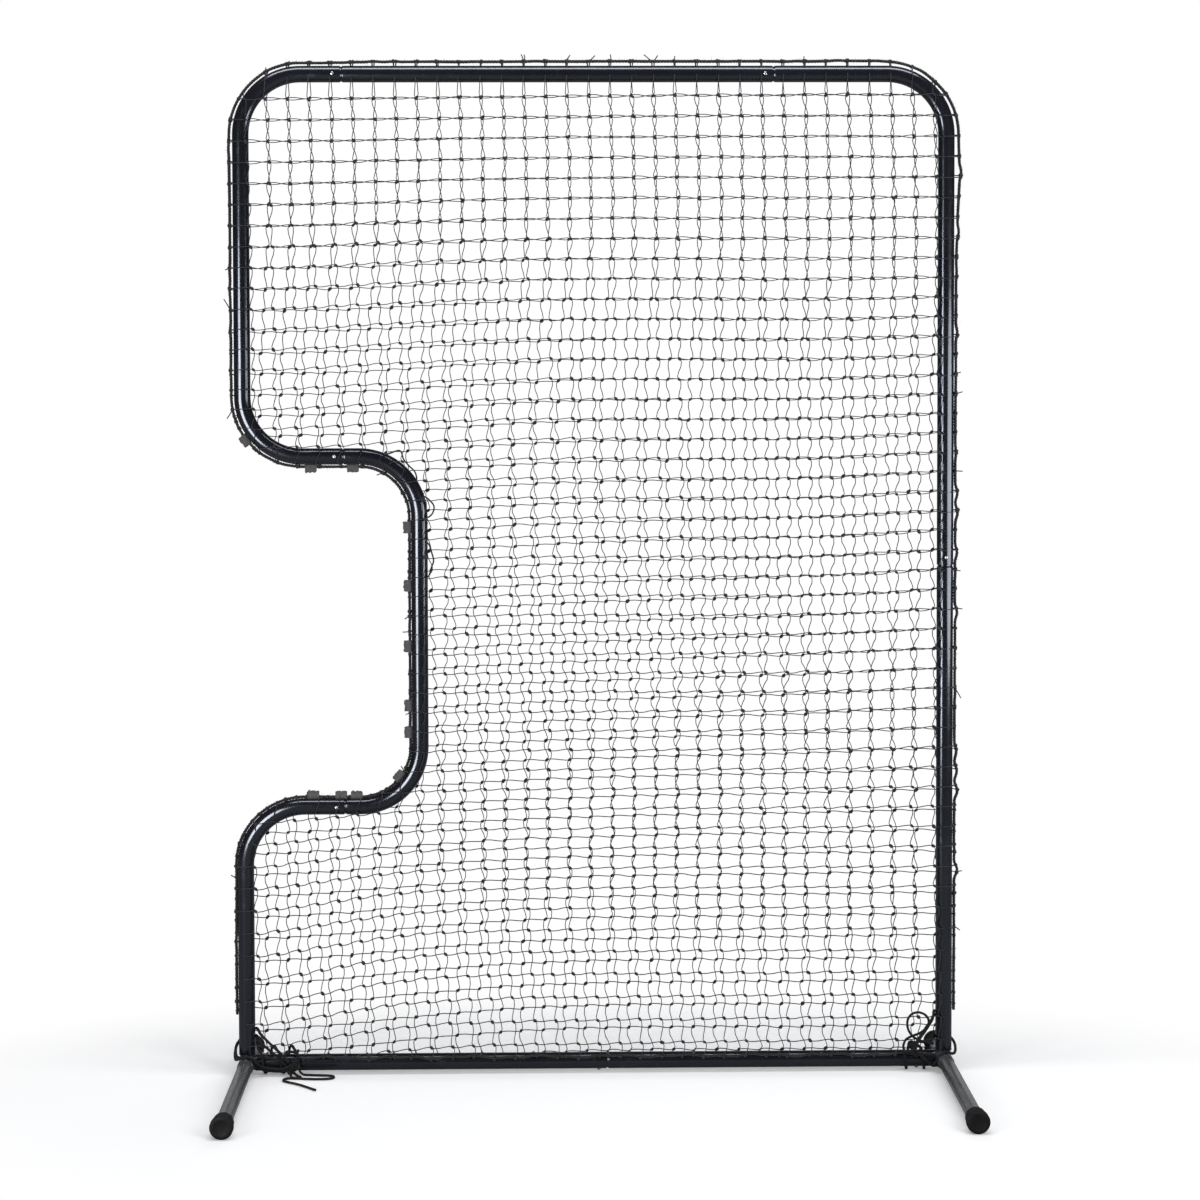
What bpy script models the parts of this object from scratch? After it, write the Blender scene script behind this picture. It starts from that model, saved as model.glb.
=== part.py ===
"""Pitching screen: a C-shaped frame of round steel tube in slip-jointed lengths, a pillowcase net over it,
and two feet of tube with rubber caps, which reach further out on the pitcher's side. Metres, +Z up, the
pitcher's side faces -Y, the cut-out is at -X. The origin is on the floor, midway between the uprights and
between the feet's ends. Every shape is drawn about the frame's own plane, which stands behind the origin."""

import math

import bmesh
import bpy
from mathutils import Matrix, Vector
from mathutils.geometry import delaunay_2d_cdt

# Frame: overall size outside the tube, tube stock, and the bends
FRAME_WIDTH = 1.524
FRAME_HEIGHT = 2.134
TUBE_RADIUS = 0.01745
TUBE_WALL = 0.0015
BEND_RADIUS = 0.127
BEND_STEPS = 6
TUBE_SIDES = 16

# Feet: a length of smaller tube in a welded bracket at each bottom corner
LEG_REACH = {"front": 0.508, "rear": 0.150}
LEG_RADIUS = 0.0158
CAP_RADIUS = 0.0236
CAP_LENGTH = 0.044
CAP_END = 0.0055
CAP_BORE = 0.0165
CAP_CHAMFER = 0.003
CAP_LIP_END = 0.017
CAP_SKIRT_START = 0.022
CAP_SKIRT_RADIUS = 0.0216
CAP_MOUTH_RADIUS = 0.0208
SLEEVE_HALF = 0.050
SLEEVE_BORE = 0.0161
STUB_LENGTH = 0.090
STUB_ROOT = 0.008
STUB_BORE_ROOT = 0.002

# Slip joints: one tube's end is drawn down to a neck that enters the next tube
NECK_RADIUS = 0.0157
NECK_BORE = 0.0142
NECK_LENGTH = 0.070
SHOULDER = 0.004
SEAM_GAP = 0.002
BUTT_GAP = 0.0006
MEET_GAP = 0.0003
BUTTON_SETBACK = 0.016
CUTTER_PAST = 0.01

# Where the lines of the frame lie, worked out from the sizes above
FRAME_Y = (LEG_REACH["front"] - LEG_REACH["rear"]) / 2
UPRIGHT_X = FRAME_WIDTH / 2 - TUBE_RADIUS
RAIL_Z = CAP_RADIUS
TOP_Z = RAIL_Z + FRAME_HEIGHT - 2 * TUBE_RADIUS
CUT_X = -UPRIGHT_X / 2
CUT_TOP_Z = 1.318
CUT_BOTTOM_Z = 0.573

# Seams between the frame's lengths of tube
LEFT_SEAM_X = -0.534
TOP_SEAM_X = 0.376
SIDE_SEAM_Z = 1.084
RAIL_SEAM_X = 0.022

# Snap buttons
PIN_RADIUS = 0.0038
PIN_HOLE = 0.0045
PIN_SIDES = 10
STUB_BUTTON = 0.058
LEG_BUTTON = 0.034
BUTTON_PROUD = 0.0035
DOME_HEIGHT = 0.0016
DOME_STEPS = 3
FLANGE_RADIUS = 0.0052
FLANGE_TOP = 0.0124
FLANGE_THICKNESS = 0.0012
LEAF_WIDTH = 0.008
LEAF_THICKNESS = 0.0008
LEAF_LENGTH = 0.022
LEAF_END = 0.005
LEAF_BACK = 0.0126
LEAF_BEND_STEPS = 6
HOLE_START = 0.006
HOLE_END = 0.030

# Net: the cut-out takes whole squares of the back layer, and the front layer hangs part of a square off it
MESH_PITCH = (CUT_TOP_Z - CUT_BOTTOM_Z) / 5
FRONT_SHIFT_X = 0.60 * MESH_PITCH
FRONT_SHIFT_Z = 0.62 * MESH_PITCH
STRAND_WIDTH = 0.005
BORDER_WIDTH = 0.006
NET_THICKNESS = 0.003
NET_OVERHANG = TUBE_RADIUS
NET_BOTTOM_Z = RAIL_Z + TUBE_RADIUS + 0.002
LEAST_GAP_AREA = 0.0008

# Border rope, the tabs that close the net on it along the cut-out, and the corner ties
ROPE_RADIUS = 0.003
ROPE_OFFSET = 0.0236
ROPE_END_Z = 0.122
BOTTOM_ROPE_ANGLE = math.radians(38)
TAB_LENGTH = 0.025
TAB_BORE = 0.0042
TAB_WRAP = 0.0056
TAB_REACH = 0.0125
TAB_HALF_THICKNESS = 0.0013
TIE_RADIUS = 0.0026
TIE_SIDES = 6
TIE_PITCH = 0.038
TIE_START = 0.0225
TIE_LIE_Z = TIE_RADIUS + BUTT_GAP
TIE_LEAN_Y = -(TUBE_RADIUS + MEET_GAP + NET_THICKNESS + MEET_GAP + TIE_RADIUS)
LEFT_TIE_STEPS = 34
RIGHT_TIE_STEPS = 25
ROUTE_STEPS = 2

BLACK_STEEL = ("black_steel", (0.012, 0.013, 0.017), 0.16, 0.3)
BLACK_RUBBER = ("black_rubber", (0.018, 0.018, 0.019), 0.72, 0.0)
ZINC = ("zinc_steel", (0.72, 0.73, 0.74), 0.28, 1.0)
SPRING_STEEL = ("spring_steel", (0.30, 0.31, 0.34), 0.35, 1.0)
NET_TWINE = ("net_twine", (0.020, 0.020, 0.028), 0.85, 0.0)
BORDER_ROPE = ("border_rope", (0.014, 0.014, 0.018), 0.9, 0.0)
HOOK_TAPE = ("hook_tape", (0.060, 0.062, 0.066), 0.95, 0.0)
TIE_CORD = ("tie_cord", (0.016, 0.016, 0.018), 0.8, 0.0)

Y_AXIS = Vector((0, 1, 0))
SMOOTH_ANGLE = math.radians(40)


def clear_scene():
    for found in list(bpy.data.objects):
        bpy.data.objects.remove(found)


def material(spec):
    name, colour, roughness, metallic = spec
    made = bpy.data.materials.get(name)
    if made is None:
        made = bpy.data.materials.new(name)
        made.use_nodes = True
        shader = made.node_tree.nodes["Principled BSDF"]
        shader.inputs["Base Color"].default_value = (*colour, 1)
        shader.inputs["Roughness"].default_value = roughness
        shader.inputs["Metallic"].default_value = metallic
        made.diffuse_color = (*colour, 1)
    return made


def mesh_object(name, points, faces, spec):
    mesh = bpy.data.meshes.new(name)
    mesh.from_pydata([tuple(p) for p in points], [], faces)
    mesh.validate()
    edited = bmesh.new()
    edited.from_mesh(mesh)
    bmesh.ops.recalc_face_normals(edited, faces=edited.faces)
    edited.to_mesh(mesh)
    edited.free()
    mesh.shade_smooth()
    mesh.set_sharp_from_angle(angle=SMOOTH_ANGLE)
    made = bpy.data.objects.new(name, mesh)
    made.data.materials.append(material(spec))
    bpy.context.scene.collection.objects.link(made)
    return made


def make_cutter(made):
    made.hide_render = True
    made.display_type = "WIRE"
    return made


def boolean(made, tool, operation):
    cut = made.modifiers.new(operation.lower(), "BOOLEAN")
    cut.object = tool
    cut.operation = operation
    cut.solver = "EXACT"


def rounded(corners, radii):
    """The polyline through corners in the XZ plane, each inner corner turned on its own radius."""
    points = [Vector((corners[0][0], 0, corners[0][1]))]
    for i in range(1, len(corners) - 1):
        before, at, after = (Vector((corners[i + k][0], 0, corners[i + k][1])) for k in (-1, 0, 1))
        inward, outward = (before - at).normalized(), (after - at).normalized()
        centre = at + (inward + outward) * radii[i - 1]
        for step in range(BEND_STEPS + 1):
            turn = math.pi / 2 * step / BEND_STEPS
            points.append(centre - (outward * math.cos(turn) + inward * math.sin(turn)) * radii[i - 1])
    points.append(Vector((corners[-1][0], 0, corners[-1][1])))
    return points


def rings_along(points, radii, normal, sides, turn=0.0):
    """A ring of corners at each point, square to a path that lies in the plane with this normal."""
    rings = []
    for i, point in enumerate(points):
        tangent = (points[min(i + 1, len(points) - 1)] - points[max(i - 1, 0)]).normalized()
        side = normal.cross(tangent)
        ring = []
        for k in range(sides):
            angle = 2 * math.pi * k / sides + turn
            ring.append(point + (side * math.cos(angle) + normal * math.sin(angle)) * radii[i])
        rings.append(ring)
    return rings


def skin(rings, sides, first=0):
    faces = []
    for i in range(len(rings) - 1):
        for k in range(sides):
            n = (k + 1) % sides
            a, b = first + i * sides, first + (i + 1) * sides
            faces.append((a + k, a + n, b + n, b + k))
    return faces


def hollow(name, outer, inner, spec, sides=TUBE_SIDES):
    """A tube open at both ends, from its rings outside and inside."""
    points = [p for ring in outer + inner for p in ring]
    start = len(outer) * sides
    faces = skin(outer, sides) + skin(inner, sides, start)
    for a, b in ((0, start), (start - sides, len(points) - sides)):
        for k in range(sides):
            n = (k + 1) % sides
            faces.append((a + k, a + n, b + n, b + k))
    return mesh_object(name, points, faces, spec)


def rod(name, rings, spec, sides):
    points = [p for ring in rings for p in ring]
    last = len(points) - sides
    caps = [tuple(range(sides)), tuple(range(last, len(points)))]
    return mesh_object(name, points, skin(rings, sides) + caps, spec)


def frame_tube(name, corners, neck_at_start=False, neck_at_end=False):
    """A length of frame tube. A neck is added past the named end, behind a sloped shoulder."""
    path = rounded(corners, [BEND_RADIUS] * (len(corners) - 2))
    outside = [TUBE_RADIUS] * len(path)
    bore = [TUBE_RADIUS - TUBE_WALL] * len(path)
    for wanted, end, inner in ((neck_at_start, 0, 1), (neck_at_end, -1, -2)):
        if not wanted:
            continue
        outward = (path[end] - path[inner]).normalized()
        base = path[end] + outward * SHOULDER
        tip = base + outward * (NECK_LENGTH + SEAM_GAP)
        where = 0 if end == 0 else len(path)
        added = [tip, base] if end == 0 else [base, tip]
        path[where:where] = added
        outside[where:where] = [NECK_RADIUS, NECK_RADIUS]
        bore[where:where] = [NECK_BORE, NECK_BORE]
    outer = rings_along(path, outside, Y_AXIS, TUBE_SIDES)
    inner = rings_along(path, bore, Y_AXIS, TUBE_SIDES)
    return hollow(name, outer, inner, BLACK_STEEL)


def make_frame_tubes():
    """The eight lengths of the frame. Each neck is on the far side of its seam from the tube it enters."""
    step = SEAM_GAP + SHOULDER
    foot_z = RAIL_Z + TUBE_RADIUS + BUTT_GAP
    rail_end = UPRIGHT_X - TUBE_RADIUS - BUTT_GAP
    return {
        "upper_left_tube": frame_tube(
            "upper_left_tube",
            [(LEFT_SEAM_X, TOP_Z), (-UPRIGHT_X, TOP_Z), (-UPRIGHT_X, CUT_TOP_Z), (LEFT_SEAM_X, CUT_TOP_Z)],
        ),
        "top_rail_tube": frame_tube(
            "top_rail_tube", [(LEFT_SEAM_X + step, TOP_Z), (TOP_SEAM_X, TOP_Z)], neck_at_start=True
        ),
        "upper_right_tube": frame_tube(
            "upper_right_tube",
            [(TOP_SEAM_X + step, TOP_Z), (UPRIGHT_X, TOP_Z), (UPRIGHT_X, SIDE_SEAM_Z)],
            neck_at_start=True,
        ),
        "lower_right_tube": frame_tube(
            "lower_right_tube",
            [(UPRIGHT_X, foot_z), (UPRIGHT_X, SIDE_SEAM_Z - step)],
            neck_at_end=True,
        ),
        "cutout_tube": frame_tube(
            "cutout_tube",
            [
                (LEFT_SEAM_X + step, CUT_TOP_Z),
                (CUT_X, CUT_TOP_Z),
                (CUT_X, CUT_BOTTOM_Z),
                (LEFT_SEAM_X + step, CUT_BOTTOM_Z),
            ],
            neck_at_start=True,
            neck_at_end=True,
        ),
        "lower_left_tube": frame_tube(
            "lower_left_tube",
            [(LEFT_SEAM_X, CUT_BOTTOM_Z), (-UPRIGHT_X, CUT_BOTTOM_Z), (-UPRIGHT_X, foot_z)],
        ),
        "bottom_rail_left": frame_tube("bottom_rail_left", [(-rail_end, RAIL_Z), (RAIL_SEAM_X, RAIL_Z)]),
        "bottom_rail_right": frame_tube(
            "bottom_rail_right", [(RAIL_SEAM_X + step, RAIL_Z), (rail_end, RAIL_Z)], neck_at_start=True
        ),
    }


def straight_rod(name, start, end, radius, normal, spec=BLACK_STEEL, sides=TUBE_SIDES, turn=0.0):
    rings = rings_along([Vector(start), Vector(end)], [radius, radius], Vector(normal), sides, turn)
    return rod(name, rings, spec, sides)


def make_bracket(side, x):
    """A sleeve for the foot, with one stub up into the upright and one inwards into the bottom rail."""
    inward = -1 if x > 0 else 1
    reach = TUBE_RADIUS + STUB_LENGTH
    bracket = straight_rod(
        f"{side}_foot_bracket",
        (x, -SLEEVE_HALF, RAIL_Z),
        (x, SLEEVE_HALF, RAIL_Z),
        TUBE_RADIUS,
        (0, 0, 1),
        turn=math.pi / TUBE_SIDES,
    )
    tips = {
        "upright": ((x, 0, RAIL_Z + STUB_ROOT), (x, 0, RAIL_Z + reach)),
        "rail": ((x + inward * STUB_ROOT, 0, RAIL_Z), (x + inward * reach, 0, RAIL_Z)),
    }
    for end, (start, tip) in tips.items():
        stub = make_cutter(straight_rod(f"{side}_{end}_stub", start, tip, NECK_RADIUS, (0, 1, 0)))
        boolean(bracket, stub, "UNION")
    sleeve_bore = straight_rod(
        f"{side}_sleeve_bore",
        (x, -SLEEVE_HALF - CUTTER_PAST, RAIL_Z),
        (x, SLEEVE_HALF + CUTTER_PAST, RAIL_Z),
        SLEEVE_BORE,
        (0, 0, 1),
    )
    boolean(bracket, make_cutter(sleeve_bore), "DIFFERENCE")
    bore_start = TUBE_RADIUS + STUB_BORE_ROOT
    bore_end = reach + CUTTER_PAST
    bores = {
        "upright": ((x, 0, RAIL_Z + bore_start), (x, 0, RAIL_Z + bore_end)),
        "rail": ((x + inward * bore_start, 0, RAIL_Z), (x + inward * bore_end, 0, RAIL_Z)),
    }
    for end, (start, tip) in bores.items():
        bore = straight_rod(f"{side}_{end}_stub_bore", start, tip, NECK_BORE, (0, 1, 0))
        boolean(bracket, make_cutter(bore), "DIFFERENCE")
    return bracket


def make_leg(side, x):
    front, rear = (LEG_REACH[end] - CAP_END - MEET_GAP for end in ("front", "rear"))
    path = [Vector((x, -front, RAIL_Z)), Vector((x, rear, RAIL_Z))]
    outer = rings_along(path, [LEG_RADIUS] * 2, Vector((0, 0, 1)), TUBE_SIDES)
    inner = rings_along(path, [NECK_BORE] * 2, Vector((0, 0, 1)), TUBE_SIDES)
    return hollow(f"{side}_leg", outer, inner, BLACK_STEEL)


def make_cap(side, end, x, facing):
    """A rubber cap pushed on the foot's end. A flat of its outside stands on the floor."""
    across_corners = 1 / math.cos(math.pi / TUBE_SIDES)
    profile = (
        (0.0, (CAP_RADIUS - CAP_CHAMFER) * across_corners),
        (CAP_CHAMFER, CAP_RADIUS * across_corners),
        (CAP_LIP_END, CAP_RADIUS * across_corners),
        (CAP_SKIRT_START, CAP_SKIRT_RADIUS * across_corners),
        (CAP_LENGTH, CAP_MOUTH_RADIUS * across_corners),
        (CAP_LENGTH, CAP_BORE),
        (CAP_END, CAP_BORE),
    )
    rings = []
    for along, radius in profile:
        centre = Vector((x, facing * (LEG_REACH[end] - along), RAIL_Z))
        angles = [2 * math.pi * (k + 0.5) / TUBE_SIDES for k in range(TUBE_SIDES)]
        rings.append([centre + Vector((math.cos(a), 0, math.sin(a))) * radius for a in angles])
    return rod(f"{side}_{end}_cap", rings, BLACK_RUBBER, TUBE_SIDES)


def snap_buttons():
    """For each button: its name, place on the tube's axis, outward and leaf directions, and both tubes."""
    front, left, up, down = (0, -1, 0), (-1, 0, 0), (0, 0, 1), (0, 0, -1)
    left_x = LEFT_SEAM_X - BUTTON_SETBACK
    buttons = [
        ("top_left", (left_x, 0, TOP_Z), front, left, ("upper_left_tube", "top_rail_tube")),
        ("cutout_upper", (left_x, 0, CUT_TOP_Z), front, left, ("upper_left_tube", "cutout_tube")),
        ("cutout_lower", (left_x, 0, CUT_BOTTOM_Z), front, left, ("lower_left_tube", "cutout_tube")),
    ]
    place = (TOP_SEAM_X - BUTTON_SETBACK, 0, TOP_Z)
    buttons.append(("top_right", place, front, left, ("top_rail_tube", "upper_right_tube")))
    place = (UPRIGHT_X, 0, SIDE_SEAM_Z + BUTTON_SETBACK)
    buttons.append(("right_side", place, front, up, ("upper_right_tube", "lower_right_tube")))
    place = (RAIL_SEAM_X - BUTTON_SETBACK, 0, RAIL_Z)
    buttons.append(("rail_centre", place, down, left, ("bottom_rail_left", "bottom_rail_right")))
    for side, sign in (("left", -1), ("right", 1)):
        bracket = f"{side}_foot_bracket"
        x = sign * UPRIGHT_X
        rail_place = (x - sign * STUB_BUTTON, 0, RAIL_Z)
        buttons += [
            (f"{side}_upright", (x, 0, RAIL_Z + STUB_BUTTON), (0, 1, 0), up, (f"lower_{side}_tube", bracket)),
            (f"rail_{side}", rail_place, down, (-sign, 0, 0), (f"bottom_rail_{side}", bracket)),
            (f"{side}_leg", (x, LEG_BUTTON, RAIL_Z), up, (0, 1, 0), (bracket, f"{side}_leg")),
        ]
    return buttons


def to_joint(place, out, along):
    """The frame of a snap button: X along the tube, Z out through its wall."""
    out, along = Vector(out), Vector(along)
    across = out.cross(along)
    turn = Matrix((along, across, out)).transposed().to_4x4()
    return Matrix.Translation(Vector(place)) @ turn


def turned_rings(profile, sides):
    return [
        [
            Vector((r * math.cos(2 * math.pi * k / sides), r * math.sin(2 * math.pi * k / sides), z))
            for k in range(sides)
        ]
        for z, r in profile
    ]


def leaf(points, name):
    """A strip of spring steel bent along points in the XZ plane."""
    rings = []
    for i, point in enumerate(points):
        tangent = (points[min(i + 1, len(points) - 1)] - points[max(i - 1, 0)]).normalized()
        off = Y_AXIS.cross(tangent) * (LEAF_THICKNESS / 2)
        wide = Y_AXIS * (LEAF_WIDTH / 2)
        rings.append([point + off + wide, point + off - wide, point - off - wide, point - off + wide])
    return rod(name, rings, SPRING_STEEL, 4)


def make_snap_button(name, place, out, along):
    """A domed pin on a leaf, which a U of spring steel carries and pushes out through both tubes' walls."""
    where = to_joint(place, out, along)
    dome_z = TUBE_RADIUS + BUTTON_PROUD - DOME_HEIGHT
    flange_z = FLANGE_TOP - FLANGE_THICKNESS
    profile = [(flange_z, FLANGE_RADIUS), (FLANGE_TOP, FLANGE_RADIUS), (FLANGE_TOP, PIN_RADIUS)]
    for step in range(DOME_STEPS):
        turn = math.pi / 2 * step / DOME_STEPS
        profile.append((dome_z + DOME_HEIGHT * math.sin(turn), PIN_RADIUS * math.cos(turn)))
    button = rod(f"{name}_button", turned_rings(profile, PIN_SIDES), ZINC, PIN_SIDES)
    leaf_z = flange_z - LEAF_THICKNESS / 2 + MEET_GAP
    arm = leaf([Vector((-LEAF_END, 0, leaf_z)), Vector((LEAF_LENGTH, 0, leaf_z))], f"{name}_arm")
    arm.matrix_world = where
    button.matrix_world = where
    boolean(button, make_cutter(arm), "UNION")
    bend_radius = (leaf_z + LEAF_BACK) / 2
    start = LEAF_LENGTH + BUTT_GAP
    points = []
    for step in range(LEAF_BEND_STEPS + 1):
        turn = math.pi * step / LEAF_BEND_STEPS
        across = leaf_z - bend_radius * (1 - math.cos(turn))
        points.append(Vector((start + bend_radius * math.sin(turn), 0, across)))
    points.append(Vector((-LEAF_END, 0, -LEAF_BACK)))
    spring = leaf(points, f"{name}_spring")
    spring.matrix_world = where
    return button


def drill(tube, name, place, out):
    """A hole for a snap button's pin through one wall of a tube."""
    out = Vector(out)
    normal = Vector((1, 0, 0)) if abs(out.x) < 0.5 and abs(out.y) > 0.5 else Vector((0, 1, 0))
    start = Vector(place) + out * HOLE_START
    end = Vector(place) + out * HOLE_END
    drill_bit = straight_rod(name, start, end, PIN_HOLE, normal, sides=8)
    boolean(tube, make_cutter(drill_bit), "DIFFERENCE")


def make_buttons(pieces):
    for name, place, out, along, tubes in snap_buttons():
        make_snap_button(name, place, out, along)
        for tube in tubes:
            drill(pieces[tube], f"{name}_hole_in_{tube}", place, out)


def outline(offset, foot_z):
    """The frame's line moved outwards by offset, from the right foot over the top to the left foot."""
    x, cut_x = UPRIGHT_X + offset, CUT_X - offset
    top, cut_top, cut_bottom = TOP_Z + offset, CUT_TOP_Z - offset, CUT_BOTTOM_Z + offset
    corners = [
        (x, foot_z), (x, top), (-x, top), (-x, cut_top),
        (cut_x, cut_top), (cut_x, cut_bottom), (-x, cut_bottom), (-x, foot_z),
    ]
    wide, tight = BEND_RADIUS + offset, BEND_RADIUS - offset
    return rounded(corners, [wide, wide, wide, tight, tight, wide])


def clipped(polygon, low, high):
    """The part of a polygon inside an upright rectangle, side by side."""
    for axis, limit, keep in ((0, low[0], 1), (0, high[0], -1), (1, low[1], 1), (1, high[1], -1)):
        result = []
        for i, point in enumerate(polygon):
            before = polygon[i - 1]
            here, there = (point[axis] - limit) * keep, (before[axis] - limit) * keep
            if (here >= 0) != (there >= 0):
                part = there / (there - here)
                result.append(tuple(before[k] + (point[k] - before[k]) * part for k in (0, 1)))
            if here >= 0:
                result.append(point)
        polygon = result
        if not polygon:
            return []
    return polygon


def tidy(polygon):
    """A polygon without repeated corners."""
    least = 1e-5
    kept = []
    for point in polygon:
        if not kept or math.dist(point, kept[-1]) > least:
            kept.append(point)
    while len(kept) > 1 and math.dist(kept[0], kept[-1]) <= least:
        kept.pop()
    return kept


def area(polygon):
    return abs(sum(a[0] * b[1] - b[0] * a[1] for a, b in zip(polygon, polygon[1:] + polygon[:1]))) / 2


def holds(polygon, point):
    crossings = 0
    for a, b in zip(polygon, polygon[1:] + polygon[:1]):
        if (a[1] > point[1]) != (b[1] > point[1]):
            if point[0] < a[0] + (point[1] - a[1]) / (b[1] - a[1]) * (b[0] - a[0]):
                crossings += 1
    return crossings % 2 == 1


def net_gaps(edge, knot_x, knot_z):
    """The gaps of a square mesh with a knot at a given place, cut to an edge."""
    gaps = []
    half = STRAND_WIDTH / 2
    reach = int(FRAME_HEIGHT / MESH_PITCH) + 1
    columns = [knot_x + MESH_PITCH * k for k in range(-reach, reach + 1)]
    rows = [knot_z + MESH_PITCH * k for k in range(-reach, reach + 1)]
    for left, right in zip(columns, columns[1:]):
        for low, high in zip(rows, rows[1:]):
            gap = tidy(clipped(edge, (left + half, low + half), (right - half, high - half)))
            if len(gap) > 2 and area(gap) > LEAST_GAP_AREA:
                gaps.append(gap)
    return gaps


def make_net(name, facing, knot_x, knot_z):
    """One layer of the pillowcase net, flat on one face of the frame."""
    rim = [(p.x, p.z) for p in outline(NET_OVERHANG, NET_BOTTOM_Z)]
    edge = [(p.x, p.z) for p in outline(NET_OVERHANG - BORDER_WIDTH, NET_BOTTOM_Z + BORDER_WIDTH)]
    loops = [tidy(rim)] + net_gaps(edge, knot_x, knot_z)
    corners, edges = [], []
    for loop in loops:
        start = len(corners)
        corners += [Vector(p) for p in loop]
        edges += [(start + k, start + (k + 1) % len(loop)) for k in range(len(loop))]
    flat, _, faces, _, _, _ = delaunay_2d_cdt(corners, edges, [], 0, 1e-7)
    kept = []
    for face in faces:
        centre = sum((flat[k] for k in face), Vector((0, 0))) / 3
        if holds(loops[0], centre) and not any(holds(gap, centre) for gap in loops[1:]):
            kept.append(tuple(face))
    y_near = facing * (TUBE_RADIUS + MEET_GAP)
    y_far = y_near + facing * NET_THICKNESS
    count = len(flat)
    points = [Vector((p.x, y, p.y)) for y in (y_near, y_far) for p in flat]
    solid_faces = kept + [tuple(k + count for k in face) for face in kept]
    sides = {}
    for face in kept:
        for a, b in zip(face, face[1:] + face[:1]):
            sides[frozenset((a, b))] = None if frozenset((a, b)) in sides else (a, b)
    solid_faces += [(a, b, b + count, a + count) for a, b in filter(None, sides.values())]
    print(name, "gaps:", len(loops) - 1)
    return mesh_object(name, points, solid_faces, NET_TWINE)


def make_border_rope():
    """The rope in the net's edge, from foot to foot round the frame, and one along the bottom rail."""
    path = outline(ROPE_OFFSET, ROPE_END_Z)
    rings = rings_along(path, [ROPE_RADIUS] * len(path), Y_AXIS, TIE_SIDES)
    rod("border_rope", rings, BORDER_ROPE, TIE_SIDES)
    reach = UPRIGHT_X - TUBE_RADIUS - ROPE_RADIUS - BUTT_GAP
    stands_off = TUBE_RADIUS + ROPE_RADIUS + MEET_GAP
    y = -stands_off * math.cos(BOTTOM_ROPE_ANGLE)
    z = RAIL_Z + stands_off * math.sin(BOTTOM_ROPE_ANGLE)
    straight_rod("bottom_rope", (-reach, y, z), (reach, y, z), ROPE_RADIUS, Y_AXIS, BORDER_ROPE, TIE_SIDES)


def tab_places():
    """Where the tabs sit along the cut-out, from the upright's upper bend round to its lower one."""
    rope_top, rope_bottom = CUT_TOP_Z - ROPE_OFFSET, CUT_BOTTOM_Z + ROPE_OFFSET
    rope_side = CUT_X - ROPE_OFFSET
    places = [(-0.738, 1.352), (-0.601, rope_top), (-0.512, rope_top)]
    places += [(rope_side, z) for z in (1.167, 1.043, 0.914, 0.788, 0.731)]
    places += [(-0.427, 0.628), (-0.508, rope_bottom), (-0.541, rope_bottom), (-0.600, rope_bottom)]
    return places


def on_rope(path, place):
    """The nearest place on a path, and its direction. On a bend it is the middle of the nearest step."""
    target = Vector((place[0], 0, place[1]))
    found = []
    for a, b in zip(path, path[1:]):
        direction = (b - a).normalized()
        along = min(max((target - a).dot(direction), 0), (b - a).length)
        if (b - a).length < 2 * TAB_LENGTH:
            along = (b - a).length / 2
        nearest = a + direction * along
        found.append(((nearest - target).length, nearest, direction))
    _, centre, direction = min(found, key=lambda item: item[0])
    return centre, direction


def make_tabs():
    """Hook-and-loop tabs folded round the border rope along the cut-out, their tongues pointing into it."""
    path = outline(ROPE_OFFSET, ROPE_END_Z)
    wrap_angles = [math.radians(a) for a in (24, 75, 130, 180, 230, 285, 336)]
    bore_angles = wrap_angles + [math.radians(a) for a in (-8, 8)]
    for number, place in enumerate(tab_places(), 1):
        centre, direction = on_rope(path, place)
        out = direction.cross(Y_AXIS) * -1
        section = [(out * math.cos(a) + Y_AXIS * math.sin(a)) * TAB_WRAP for a in wrap_angles]
        section += [out * TAB_REACH + Y_AXIS * (side * TAB_HALF_THICKNESS) for side in (-1, 1)]
        bore = [(out * math.cos(a) + Y_AXIS * math.sin(a)) * TAB_BORE for a in bore_angles]
        count = len(section)
        points = []
        for end in (-1, 1):
            shift = centre + direction * (end * TAB_LENGTH / 2)
            points += [shift + p for p in section + bore]
        faces = []
        for k in range(count):
            n = (k + 1) % count
            faces.append((k, n, 2 * count + n, 2 * count + k))
            faces.append((count + k, count + n, 3 * count + n, 3 * count + k))
            faces.append((k, n, count + n, count + k))
            faces.append((2 * count + k, 2 * count + n, 3 * count + n, 3 * count + k))
        mesh_object(f"net_tab_{number:02d}", points, faces, HOOK_TAPE)


def smooth_route(points, per_span):
    """A smooth curve through a route's own points."""
    ends = [points[0] * 2 - points[1], *points, points[-1] * 2 - points[-2]]
    route = []
    for p0, p1, p2, p3 in zip(ends, ends[1:], ends[2:], ends[3:]):
        for step in range(per_span):
            t = step / per_span
            bend = (2 * p0 - 5 * p1 + 4 * p2 - p3) * t**2 + (3 * p1 - p0 - 3 * p2 + p3) * t**3
            route.append(p1 + ((p2 - p0) * t + bend) * 0.5)
    return route + [points[-1]]


def make_cord(name, points):
    """A free length of cord, as a curve through its route."""
    curve = bpy.data.curves.new(name, "CURVE")
    curve.dimensions = "3D"
    curve.bevel_depth = TIE_RADIUS
    curve.bevel_resolution = 2
    curve.use_fill_caps = True
    route = smooth_route([Vector(p) for p in points], ROUTE_STEPS)
    spline = curve.splines.new("POLY")
    spline.points.add(len(route) - 1)
    for target, point in zip(spline.points, route):
        target.co = (*point, 1)
    made = bpy.data.objects.new(name, curve)
    curve.materials.append(material(TIE_CORD))
    bpy.context.scene.collection.objects.link(made)


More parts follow.
